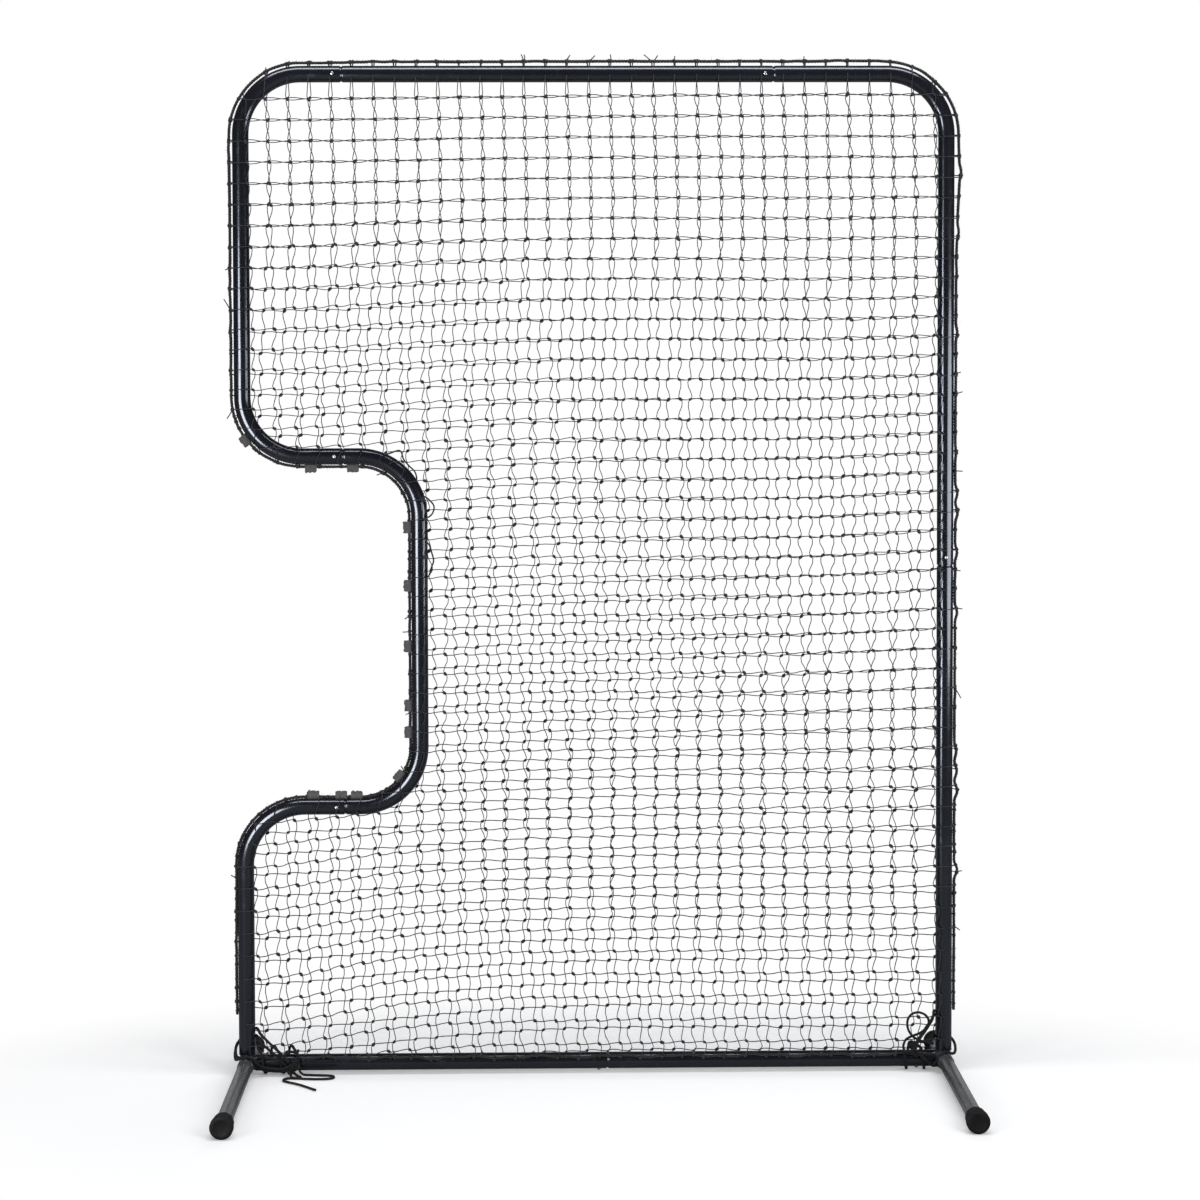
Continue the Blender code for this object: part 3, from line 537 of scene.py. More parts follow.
def make_bracket(side, x):
    """The sleeve for a foot, its two stubs, coped to it, and a bead of weld round each."""
    path = [Vector((x, y, RAIL_Z)) for y in SLEEVE_ENDS]
    shape = hollow(rounded_ends(path, TUBE_RADIUS, SLEEVE_BORE), Z_AXIS)
    centre = Vector((x, 0, RAIL_Z))
    root = TUBE_RADIUS - COPE_DEPTH
    # Radius and height of each ring of a stub. One without a height follows the sleeve
    levels = (
        (NECK_RADIUS, None), (NECK_RADIUS, STUB_REACH - LIP_ROUND), (NECK_RADIUS - LIP_ROUND, STUB_REACH),
        (NECK_BORE, STUB_REACH), (NECK_BORE, None),
    )
    for out in (Z_AXIS, Vector((-1 if x > 0 else 1, 0, 0))):
        across = out.cross(Y_AXIS)
        points = []
        for radius, level in levels:
            for angle in angles_round(TUBE_SIDES):
                a, y = radius * cos(angle), radius * sin(angle)
                height = sqrt(root * root - y * y) if level is None else level
                points.append(centre + across * a + Y_AXIS * y + out * height)
        shape.add(points, skin(len(levels), TUBE_SIDES, closed=True))
        points = []
        for angle in angles_round(TUBE_SIDES * 2):
            a, y = NECK_RADIUS * cos(angle), NECK_RADIUS * sin(angle)
            height = sqrt(TUBE_RADIUS**2 - y * y)
            ripple = BEAD_RIPPLE * cos(BEAD_RIPPLES * angle)
            size = BEAD_LEAST + (BEAD_SIZE + ripple) * sin(angle) ** 2
            spot = centre + across * a + Y_AXIS * y + out * height
            slope = y * cos(angle) / height
            tangent = across * -sin(angle) + Y_AXIS * cos(angle) - out * slope
            points += ring(spot, tangent, out, size, BEAD_SIDES)
        shape.add(points, skin(TUBE_SIDES * 2, BEAD_SIDES, closed=True))
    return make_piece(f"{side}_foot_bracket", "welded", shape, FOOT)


def make_leg(side, x):
    path = [Vector((x, y, RAIL_Z)) for y in LEG_ENDS]
    shape = hollow(rounded_ends(path, LEG_RADIUS, NECK_BORE), Z_AXIS)
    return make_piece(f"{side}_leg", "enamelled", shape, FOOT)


# The cap's outline, as distance from its face and radius: a dished face in a rolled rim, a tread with two
# grooves, and a waist
CAP_RADIUS = RAIL_Z
GROOVE_RADIUS = CAP_RADIUS - 0.0007
CAP_PROFILE = (
    (0.0022, 0.0010), (0.0020, 0.0105), (0.0007, 0.0142), (0.0, 0.0165), (0.0002, 0.0192), (0.0013, 0.0219),
    (0.0030, CAP_RADIUS - 0.0004), (0.0046, CAP_RADIUS), (0.0070, CAP_RADIUS), (0.0076, GROOVE_RADIUS),
    (0.0084, GROOVE_RADIUS), (0.0090, CAP_RADIUS), (0.0116, CAP_RADIUS), (0.0122, GROOVE_RADIUS),
    (0.0130, GROOVE_RADIUS), (0.0136, CAP_RADIUS), (0.0162, CAP_RADIUS), (0.0184, CAP_RADIUS - 0.0008),
    (0.0205, 0.0219), (0.0230, 0.0214), (0.0360, 0.0210), (0.0400, 0.0212), (0.0425, 0.0213),
    (CAP_LENGTH - 0.0004, 0.0206), (CAP_LENGTH, 0.0192), (CAP_LENGTH - 0.0003, CAP_BORE + 0.0004),
    (CAP_LENGTH - 0.0020, CAP_BORE), (CAP_END, CAP_BORE), (CAP_END, 0.0010),
)


def make_cap(side, end, x, facing, reach):
    """A moulded rubber cap, hollow for the leg."""
    points = []
    for along, size in CAP_PROFILE:
        centre = Vector((x, facing * (reach - along), RAIL_Z))
        points += [centre + Vector((cos(a), 0, facing * sin(a))) * size for a in angles_round(CAP_SIDES)]
    shape = Shape(points, capped(len(CAP_PROFILE), CAP_SIDES))
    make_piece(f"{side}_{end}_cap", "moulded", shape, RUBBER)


# The frame's line, which the net's edge follows: its points, lengths along it and outward directions

def resampled(path, step):
    """Points at an even spacing along a path, ends included."""
    lengths = [0.0]
    for a, b in zip(path, path[1:]):
        lengths.append(lengths[-1] + (b - a).length)
    wanted = np.linspace(0, lengths[-1], max(2, round(lengths[-1] / step) + 1))
    columns = [np.interp(wanted, lengths, [p[k] for p in path]) for k in range(3)]
    return np.stack(columns, axis=1), wanted


def unit(rows):
    return rows / np.linalg.norm(rows, axis=1)[:, None]


LINE_STEP = 0.006
LINE_FOOT = RAIL_Z + 0.002


def frame_line():
    x = UPRIGHT_X
    corners = (
        (x, LINE_FOOT), (x, TOP_Z), (-x, TOP_Z), (-x, CUT_TOP_Z),
        (CUT_X, CUT_TOP_Z), (CUT_X, CUT_BOTTOM_Z), (-x, CUT_BOTTOM_Z), (-x, LINE_FOOT),
    )
    points, along = resampled(rounded(corners), LINE_STEP)
    flat = points[:, (0, 2)]
    ahead = unit(np.gradient(flat, axis=0))
    return flat, along, np.stack([ahead[:, 1], -ahead[:, 0]], axis=1)


LINE, LINE_ALONG, LINE_OUT = frame_line()

# The border rope's distance outside the frame's line, at lengths along it from the right foot: it lies close
# to the tube, stands off along the top and above the right upright, and is drawn tight round the cut-out
ROPE_LIE = (
    (0.00, 0.0208), (0.45, 0.0214), (1.68, 0.0216), (1.80, 0.0250), (1.88, 0.0285), (2.07, 0.0240),
    (2.20, 0.0272), (2.40, 0.0262), (3.15, 0.0262), (3.34, 0.0238), (4.15, 0.0230), (4.40, 0.0214),
    (5.20, 0.0206), (6.10, 0.0205),
)
RIGHT_SIDE = TOP_Z - BEND_RADIUS
ROPE_CELL = 0.0425
CELL_BOWS = (-1.6, 1.0)
SLACK_RIGHT = 0.0068
SLACK = 0.0012
SLACK_FADE = 0.05
ROPE_DRIFT = 0.0011
ROPE_RADIUS = 0.0034
# Below the rope's two ends, the net stops on the tube
EDGE_ON_TUBE = 0.0150
LINE_BATCH = 4000
MM = 0.001


def wander(places):
    """A smooth noise's values at places."""
    return np.array([noise.noise(Vector(place)) for place in places])


def rope_out(along):
    """The rope's distance outside the frame's line. Between its hitches, some lengths of it bow out."""
    base = np.interp(along, *zip(*ROPE_LIE))
    cells = np.random.default_rng(5).uniform(*CELL_BOWS, int(along[-1] / ROPE_CELL) + 2)
    bow = np.maximum(0, cells[(along / ROPE_CELL).astype(int)])
    most = np.interp(along, (RIGHT_SIDE - SLACK_FADE, RIGHT_SIDE + SLACK_FADE), (SLACK_RIGHT, SLACK))
    drift = wander((a * 9, 3.1, 0.7) for a in along)
    return base + most * bow * np.sin(np.pi * (along / ROPE_CELL % 1)) ** 2 + ROPE_DRIFT * drift


ROPE_OUT_LINE = np.where(LINE[:, 1] > ROPE_END_Z, rope_out(LINE_ALONG), EDGE_ON_TUBE)


def nearest_step(x, z):
    """The number of the line's point that lies nearest."""
    return np.hypot(LINE[:, 0] - x, LINE[:, 1] - z).argmin()


def off_line(points):
    """For points in the XZ plane: the distance outside the frame's line, and the rope's distance there."""
    flat = points.reshape(-1, 2)
    steps = np.diff(LINE, axis=0)
    found = []
    for first in range(0, len(flat), LINE_BATCH):
        from_start = flat[first : first + LINE_BATCH, None] - LINE[None, :-1]
        share = np.clip((from_start * steps).sum(2) / (steps**2).sum(1), 0, 1)
        gap = from_start - share[..., None] * steps
        far = np.hypot(gap[..., 0], gap[..., 1])
        nearest = far.argmin(1)
        rows = np.arange(len(far))
        side = (gap[rows, nearest] * LINE_OUT[nearest]).sum(1)
        part = share[rows, nearest]
        rope = ROPE_OUT_LINE[nearest] * (1 - part) + ROPE_OUT_LINE[nearest + 1] * part
        found.append((far[rows, nearest] * np.where(side >= 0, 1, -1), rope))
    return [np.concatenate(values).reshape(points.shape[:-1]) for values in zip(*found)]


# Net

MESH = 0.0451
TWINE_RADIUS = 0.00122
HITCH_RADIUS = 0.0021
LACING_RADIUS = 0.0017
NET_Y = TUBE_RADIUS + 0.0018
WRAP_POWER = 0.62
KNOT_HALF = 0.0033
KNOT_SIZE = (0.0049, 0.0029, 0.0033)
KNOT_LEAN = radians(40)
HITCH_SIZE = (0.0030, 0.0030, 0.0026)
LUMPINESS = 0.09
KNOT_SHAKE = (0.0007, 0.0006)
KNOT_SIZES = (0.85, 1.15)
KNOT_TURNS = 0.16
HITCH_SIZES = (0.8, 1.2)
ZIGZAG = 0.0016
FIRST_ROW = 0.0490
FIRST_COLUMN = 0.0075
PAST_FRAME = 0.07
LAST_ROW_Z = -0.05
NET_END_Z = 0.0335
NET_SWAY = (0.0022, 0.0014)
ROPE_SWAY = (0.0017, 0.0012)
SWAY_RATES = (41, 97)
# Knots stay clear of the edge and the end. A strand close to the edge is kept where it runs across it
KNOT_CLEAR = 0.013
KNOT_ABOVE_END = 0.006
EDGE_BAND = 0.0035
EDGE_SLOPE = 0.38
TINY = 1e-6
# The row spacing at a few heights: the lower part of the net hangs stretched
ROW_HEIGHTS = (0.05, 0.26, 0.40, 0.62, 1.10, 1.50, 2.12)
ROW_SPACING = (0.0500, 0.0470, 0.0430, 0.0421, 0.0418, 0.0424, 0.0432)

# Where each layer is drawn aside, in millimetres: centre x and z, shift in x and z, and reach in x and z
FRONT_PULLS = (
    (-800, 200, 14, -60, 300, 440), (-800, 1570, 11, -32, 430, 530), (350, 1060, 13, -6, 1200, 360),
    (-190, 30, 20, -9, 600, 210), (800, 1730, 11, -19, 1200, 640), (800, 1220, 8, 15, 220, 490),
    (-350, 2200, -6, -14, 720, 380), (800, 150, 24, -4, 420, 330),
)
BACK_PULLS = (
    (-120, 1420, -7, 23, 460, 440), (340, 110, -41, -13, 800, 350), (800, -100, 60, -11, 1030, 800),
    (-510, 1310, -21, -47, 780, 660), (-800, -30, -14, -75, 500, 660), (-200, 1820, 17, 3, 950, 270),
    (800, 1130, 9, 15, 260, 560), (800, 1850, 16, -6, 490, 360),
)


def layer_knots(pulls, shift_x, shift_z, seed):
    """The knots of one layer, by column and row, with one more column and row past the frame all round."""
    heights = [TOP_Z + PAST_FRAME, TOP_Z - FIRST_ROW]
    while heights[-1] > LAST_ROW_Z:
        heights.append(heights[-1] - float(np.interp(heights[-1], ROW_HEIGHTS, ROW_SPACING)))
    edge = UPRIGHT_X - FIRST_COLUMN
    inner = [-edge + shift_x + MESH * k for k in range(int((2 * edge - shift_x) / MESH) + 1)]
    columns = [-UPRIGHT_X - PAST_FRAME, *inner, UPRIGHT_X + PAST_FRAME]
    x, z = np.meshgrid(columns, heights, indexing="ij")
    z = z + shift_z
    for at_x, at_z, move_x, move_z, reach_x, reach_z in np.array(pulls) * MM:
        weight = np.exp(-(((x - at_x) / reach_x) ** 2) - ((z - at_z) / reach_z) ** 2)
        x, z = x + move_x * weight, z + move_z * weight
    shaken = np.random.default_rng(seed)
    x = x + shaken.normal(0, KNOT_SHAKE[0], x.shape)
    z = z + shaken.normal(0, KNOT_SHAKE[1], z.shape)
    x[:, ::2] += ZIGZAG / 2
    x[:, 1::2] -= ZIGZAG / 2
    return np.stack([x, z], axis=-1)


STRAND_SHARES = (0.06, 0.34, 0.64, 0.94)
# Uprights hang in full slack below the first height, and in less above the second
SLACK_HEIGHTS = (1.25, 1.75)
SLACK_SHARES = (1.0, 0.35)
# How far strands lean or run as they leave a knot and as they meet the next
UPRIGHT_LEANS = (0.017, 0.004)
UPRIGHT_FALL = (0.0, -0.040)
LEVEL_RUNS = (0.042, 0.044)
LEVEL_LEANS = (-0.006, -0.001)
LEVEL_SLANT = -0.45


def hermite(start, end, leave, arrive):
    """Points on smooth curves between pairs of points, at the strands' shares of the way."""
    t = np.array(STRAND_SHARES)[:, None]
    a, b = 2 * t**3 - 3 * t**2 + 1, t**3 - 2 * t**2 + t
    c, d = -2 * t**3 + 3 * t**2, t**3 - t**2
    return start[..., None, :] * a + leave * b + end[..., None, :] * c + arrive * d


def strand_lines(knots, tilt):
    """The lines of both families of strands. Each leaves a knot at one end of its slant and meets the next at
    the other, so that uprights lean and crossings of the two layers open into lenses."""
    slant = np.array((tilt, -1.0)) * KNOT_HALF
    slack = np.interp(knots[:, 1:, 1], SLACK_HEIGHTS, SLACK_SHARES)[..., None, None]
    leave, arrive = (np.array((tilt * lean, 0.0)) * slack + UPRIGHT_FALL for lean in UPRIGHT_LEANS)
    upright = hermite(knots[:, :-1] + slant, knots[:, 1:] - slant, leave, arrive)
    side = np.array((1.0, tilt * LEVEL_SLANT)) * KNOT_HALF
    leave, arrive = (np.array((run, tilt * lean)) for run, lean in zip(LEVEL_RUNS, LEVEL_LEANS))
    level = hermite(knots[:-1] + side, knots[1:] - side, leave, arrive).swapaxes(0, 1)
    families = (upright, (1, 0, 0)), (level, (0, 0, 1))
    return [(lines.reshape(len(lines), -1, 2), across) for lines, across in families]


def wrapped_y(distance, rope):
    """How far from the frame's middle plane the net lies, which rounds over the tube down to the rope."""
    return NET_Y * (1 - np.clip(distance / rope, 0, 1) ** 2) ** WRAP_POWER


def sway(x, slow, quick):
    """The sway of the rope along the bottom rail, and with it of the net's lower end."""
    return slow * np.sin(x * SWAY_RATES[0]) + quick * np.sin(x * SWAY_RATES[1] + 1)


def net_end(x):
    """The height at which the net's last strands meet the rope along the bottom rail."""
    return NET_END_Z + sway(x, *NET_SWAY)


def cut_runs(line, distance, rope):
    """The stretches of a strand that lie on the frame side of the rope, ended exactly on it."""
    low = net_end(line[:, 0])
    length = np.linalg.norm(np.gradient(line, axis=0), axis=1)
    slope = np.abs(np.gradient(distance)) / np.maximum(length, TINY)
    inside = (distance <= rope) & (line[:, 1] >= low) & ((distance < -EDGE_BAND) | (slope > EDGE_SLOPE))
    rows = np.column_stack([line, distance, rope])
    rooms = (rope - distance, line[:, 1] - low)
    runs = []
    edges = np.flatnonzero(np.diff(np.concatenate([[0], inside.astype(int), [0]])))
    for first, last in zip(edges[::2], edges[1::2]):
        if last - first < 2:
            continue
        run, hitched = list(rows[first:last]), [False, False]
        for kept, out, at_end in ((first, first - 1, 0), (last - 1, last, 1)):
            if not 0 <= out < len(line):
                continue
            shares = [room[kept] / (room[kept] - room[out]) for room in rooms if room[out] < 0]
            if shares:
                run.insert(len(run) * at_end, rows[kept] + (rows[out] - rows[kept]) * min(shares))
                hitched[at_end] = True
        runs.append((np.array(run), hitched))
    return runs


def axes_across(path, reference):
    """Two directions across a path at each of its points, the first of them nearest the reference."""
    ahead = unit(np.gradient(path, axis=0))
    across = unit(np.array(reference) - ahead * (ahead @ np.array(reference))[:, None])
    return across, np.cross(ahead, across)


def add_strand(shape, path, reference, radius, sides):
    """A thin closed tube along a path."""
    across, up = axes_across(path, reference)
    angles = (2 * np.pi * (np.arange(sides) + 0.5) / sides)[None, :, None]
    size = np.broadcast_to(radius, (len(path),))[:, None, None]
    rings = path[:, None] + size * (across[:, None] * np.cos(angles) + up[:, None] * np.sin(angles))
    shape.add(rings.reshape(-1, 3), capped(len(path), sides))


BALL_SIDES, BALL_RINGS = 7, 5


def ball():
    """A small round of unit radius, as points and faces."""
    points = [(0, 0, 1.0)]
    for i in range(1, BALL_RINGS):
        tip = pi * i / BALL_RINGS
        for k in range(BALL_SIDES):
            turn = 2 * pi * (k + 0.5 * (i % 2)) / BALL_SIDES
            points.append((sin(tip) * cos(turn), sin(tip) * sin(turn), cos(tip)))
    points.append((0, 0, -1.0))
    last = len(points) - 1
    base = last - BALL_SIDES
    faces = [(0, 1 + k, 1 + (k + 1) % BALL_SIDES) for k in range(BALL_SIDES)]
    faces += [(1 + a, 1 + d, 1 + c, 1 + b) for a, b, c, d in skin(BALL_RINGS - 1, BALL_SIDES)]
    faces += [(last, base + (k + 1) % BALL_SIDES, base + k) for k in range(BALL_SIDES)]
    return np.array(points), faces


BALL_POINTS, BALL_FACES = ball()


def add_balls(shape, centres, sizes, turns, seed):
    """Lumps in the XZ plane, each with sizes along, through and across, and an angle from +X towards +Z."""
    shaken = np.random.default_rng(seed)
    for centre, size, turn in zip(centres, sizes, turns):
        lumpy = BALL_POINTS * (1 + shaken.normal(0, LUMPINESS, (len(BALL_POINTS), 1)))
        along, through, across = (lumpy * size).T
        c, s = cos(turn), sin(turn)
        placed = np.stack([along * c - across * s, through, along * s + across * c], axis=1)
        shape.add(placed + np.array(centre), BALL_FACES)


# Slack loops of lacing on the net's side of the cut-out, in millimetres. Outside its upper inner bend: angle
# from +X towards +Z, distance out and depth. Beside its upright tube: distance out, depth and height
BEND_LACING = (
    (
        (68, -3, -14), (64, 4, -8), (58, 19.5, 0), (52, 9, -4), (45, 6.2, -6), (39, 7, -6), (34, 3, -10),
        (31, -3, -14),
    ),
    ((18, -2, -14), (14, 6.5, -6), (8, 15, -2), (3, 12, -4), (0, 5, -10), (-1, -2, -14)),
)
SIDE_LACING = (
    (15, -13, 1138), (21.5, -6, 1129), (26.5, -3, 1112), (30, -3, 1096), (24.5, -4, 1080), (22, -7, 1068),
    (15, -13, 1060),
)


def lacing_loops():
    for loop in BEND_LACING:
        route = []
        for angle, out, y in loop:
            turn, reach = radians(angle), BEND_RADIUS + TUBE_RADIUS + out * MM
            x, z = CUT_X - BEND_RADIUS, CUT_TOP_Z - BEND_RADIUS
            route.append((x + reach * cos(turn), y * MM, z + reach * sin(turn)))
        yield route
    yield [(CUT_X + out * MM, y * MM, z * MM) for out, y, z in SIDE_LACING]


def make_net(node, facing, pulls, shift_x, shift_z, tilt, seed):
    """One layer: its strands, a tight lump at each knot, and a hitch where a strand meets the rope."""
    knots = layer_knots(pulls, shift_x, shift_z, seed)
    shape, hitches = Shape(), []
    for lines, reference in strand_lines(knots, tilt):
        for line, distance, rope in zip(lines, *off_line(lines)):
            for run, hitched in cut_runs(line, distance, rope):
                path = np.stack([run[:, 0], facing * wrapped_y(run[:, 2], run[:, 3]), run[:, 1]], axis=1)
                if np.linalg.norm(path[-1] - path[0]) < MESH / 3:
                    continue
                size = np.full(len(path), TWINE_RADIUS)
                for end in (0, -1):
                    if hitched[end]:
                        size[end] = HITCH_RADIUS
                        hitches.append(run[end])
                add_strand(shape, path, reference, size, 4)
    flat = knots[1:-1, 1:].reshape(-1, 2)
    flat = flat[(off_line(flat)[0] < -KNOT_CLEAR) & (flat[:, 1] > net_end(flat[:, 0]) + KNOT_ABOVE_END)]
    centres = np.stack([flat[:, 0], np.full(len(flat), facing * NET_Y), flat[:, 1]], axis=1)
    shaken = np.random.default_rng(seed + 1)
    sizes = np.array(KNOT_SIZE) * shaken.uniform(*KNOT_SIZES, (len(centres), 1))
    turns = -tilt * KNOT_LEAN + shaken.normal(0, KNOT_TURNS, len(centres))
    add_balls(shape, centres, sizes, turns, seed + 2)
    if facing < 0:
        for route in lacing_loops():
            add_strand(shape, np.array(smooth_route(route, 4)), (0.1, 0.99, 0.1), LACING_RADIUS, 6)
    ends = [(x, facing * float(wrapped_y(distance, rope)), z) for x, z, distance, rope in hitches]
    sizes = np.array(HITCH_SIZE) * shaken.uniform(*HITCH_SIZES, (len(ends), 1))
    add_balls(shape, ends, sizes, shaken.uniform(0, pi, len(ends)), seed + 3)
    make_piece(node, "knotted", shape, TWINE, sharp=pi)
    return hitches


# Ropes

# A twisted rope's strand radius, how far its strands lie from its middle, and the length of one full turn
ROPE_TWIST = (0.00195, 0.00165, 0.019)
BOTTOM_TWIST = (0.00150, 0.00145, 0.016)
ROPE_STEP = 0.0026
ROPE_WANDER = 0.0008
ROPE_SWELL = 0.22
ROPE_HITCH = (0.0048, 0.0042, 0.0044)
HITCH_OUT = 0.0004
TAIL_SHARE = 0.11
ROPE_HITCH_SIZES = (0.8, 1.15)
TAIL_LENGTHS = (0.009, 0.015)
# Hairs on the rope: how many, the rope's radius there and the longest
ROPE_HAIRS = (1700, ROPE_RADIUS, 0.0080)
HAIR_RADII = (0.00022, 0.00018, 0.00008)
HAIR_LEAST = 0.25
HAIR_ROOT, HAIR_MIDDLE, HAIR_TIP = 0.7, 0.55, 0.4
HAIR_UPRIGHT = 0.6
HAIR_DRIFT = 0.5
BOTTOM_RADIUS = 0.0028
BOTTOM_INSET = 0.001
BOTTOM_LEAN = 0.35
BOTTOM_HAIRS = (260, BOTTOM_RADIUS, 0.007)
BOTTOM_FIRST_HITCH = 8
BOTTOM_HITCH = (0.0046, 0.0040, 0.0040)


def lengths_along(path):
    return np.concatenate([[0], np.cumsum(np.linalg.norm(np.diff(path, axis=0), axis=1))])


def add_twist(shape, path, twist, swell=1.0):
    """A three-strand rope along a path of evenly spaced points."""
    strand, helix, lay = twist
    across, up = axes_across(path, Y_AXIS)
    along = lengths_along(path)
    for k in range(3):
        turn = 2 * np.pi * (along / lay + k / 3)[:, None]
        centre = path + helix * (across * np.cos(turn) + up * np.sin(turn))
        add_strand(shape, centre, (0.2, 0.97, 0.13), strand * swell, 5)


def add_hairs(shape, path, count, radius, longest, seed):
    """Short stray hairs that stand off a rope in all directions."""
    shaken = np.random.default_rng(seed)
    ahead = unit(np.gradient(path, axis=0))
    for at in shaken.integers(1, len(path) - 1, count):
        direction = shaken.normal(0, 1, 3)
        direction -= ahead[at] * (direction @ ahead[at]) * HAIR_UPRIGHT
        direction /= np.linalg.norm(direction)
        drift = shaken.normal(0, HAIR_DRIFT, 3)
        length = longest * (HAIR_LEAST + (1 - HAIR_LEAST) * shaken.random() ** 2)
        base = path[at] + direction * radius * HAIR_ROOT
        middle = base + direction * length * HAIR_MIDDLE
        tip = middle + (direction + drift) * length * HAIR_TIP
        add_strand(shape, np.stack([base, middle, tip]), (0.31, 0.42, 0.85), HAIR_RADII, 3)


def make_border_rope(hitches):
    """The twisted rope in the net's edge, with a hitch at each strand's end, cut tails and stray hairs."""
    flat = LINE + LINE_OUT * ROPE_OUT_LINE[:, None]
    path, _ = resampled([Vector((x, 0, z)) for x, z in flat if z > ROPE_END_Z], ROPE_STEP)
    path[:, 1] += ROPE_WANDER * wander((0.3, k * 0.02, 1.7) for k in range(len(path)))
    swell = 1 + ROPE_SWELL * wander((k * 0.045, 5.2, 0.4) for k in range(len(path)))
    shape = Shape()
    add_twist(shape, path, ROPE_TWIST, swell)
    add_hairs(shape, path, *ROPE_HAIRS, 11)
    shaken = np.random.default_rng(17)
    centres, sizes, turns = [], [], []
    for x, z, distance, rope in hitches:
        if distance < rope - TINY or (z < ROPE_END_Z and abs(x) > UPRIGHT_X):
            continue
        away = LINE_OUT[nearest_step(x, z)]
        centre = np.array((x + away[0] * HITCH_OUT, shaken.normal(0, 0.0008), z + away[1] * HITCH_OUT))
        centres.append(centre)
        sizes.append(np.array(ROPE_HITCH) * shaken.uniform(*ROPE_HITCH_SIZES))
        turns.append(atan2(-away[0], away[1]) + shaken.normal(0, 0.2))
        if shaken.random() < TAIL_SHARE:
            side = np.array((-away[1], away[0])) * shaken.normal(0, 0.7) + away
            tip = centre + np.array((side[0], shaken.normal(0, 0.5), side[1])) * shaken.uniform(*TAIL_LENGTHS)
            tail = np.stack([centre, (centre + tip) / 2 + shaken.normal(0, 0.001, 3), tip])
            add_strand(shape, tail, (0.3, 0.9, 0.3), TWINE_RADIUS, 5)
    add_balls(shape, centres, sizes, turns, 18)
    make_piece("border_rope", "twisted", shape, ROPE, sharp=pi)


def make_bottom_rope():
    """The rope along the front of the bottom rail, which sways and is hitched every second mesh."""
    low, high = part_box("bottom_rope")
    centre = (low + high) / 2 - FRAME_Y * Y_AXIS
    x = np.arange(low.x + BOTTOM_INSET, high.x - BOTTOM_INSET, ROPE_STEP)
    z = centre.z + sway(x, *ROPE_SWAY)
    y = centre.y - np.maximum(0, centre.z - z) * BOTTOM_LEAN
    path = np.stack([x, y, z], axis=1)
    shape = Shape()
    add_twist(shape, path, BOTTOM_TWIST)
    add_hairs(shape, path, *BOTTOM_HAIRS, 12)
    places = path[BOTTOM_FIRST_HITCH :: round(2 * MESH / ROPE_STEP)]
    add_balls(shape, places, [BOTTOM_HITCH] * len(places), np.linspace(0.2, 2.6, len(places)), 13)
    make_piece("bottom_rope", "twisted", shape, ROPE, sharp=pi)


# Tabs

TAB_HALF = 0.0125
TAB_REACH = 0.0128
TAB_WRAP = 0.0050
TAB_THICKNESS = 0.0011
TAB_LIPS = 0.0007
TAB_NECK = (0.0064, 0.0014)
TAB_NECK_ANGLE = 34
TAB_STATIONS = 11
# Tongues: how uneven and curled they are, how much is cut off their corners, and how much of the curl
# there is at a share of the reach
TAB_UNEVEN = 0.0007
TAB_CURL = 0.0005
TAB_CUT = 0.004
CURL_AT, CURL_THERE = 0.75, 0.6
WRAP_STEPS = 9
STITCHES = 8
STITCH_SPREAD = 0.86
STITCH_OUT = 0.0088
STITCH_Y = 0.0013
STITCH_CURL = 0.45
STITCH_SIZE = (0.0011, 0.0003, 0.0003)


def tab_frames():
    """Each tab's middle and its direction out of the net, from its CAD node's box and the frame's line."""
    for number in range(1, 13):
        node = f"net_tab_{number:02d}"
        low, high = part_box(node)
        centre = (low + high) / 2
        nearest = nearest_step(centre.x, centre.z)
        (x, z), (out_x, out_z) = LINE[nearest], LINE_OUT[nearest]
        foot, out, across = Vector((x, 0, z)), Vector((out_x, 0, out_z)), Vector((-out_z, 0, out_x))
        slide = (centre - foot).dot(across)
        yield node, foot + across * slide + out * float(ROPE_OUT_LINE[nearest]), out


def tab_section(reach, curl):
    """The folded tape in section: from one tip round the rope and back to the other, as (out, y) points."""
    halves = []
    for side in (1, -1):
        lips, root = side * TAB_LIPS, (TAB_NECK[0], side * TAB_NECK[1])
        halves.append([(reach, lips + curl), (reach * CURL_AT, lips + curl * CURL_THERE), root])
    wrap = []
    for k in range(WRAP_STEPS + 1):
        angle = radians(TAB_NECK_ANGLE + (360 - 2 * TAB_NECK_ANGLE) * k / WRAP_STEPS)
        wrap.append((TAB_WRAP * cos(angle), TAB_WRAP * sin(angle)))
    return halves[0] + wrap + halves[1][::-1]


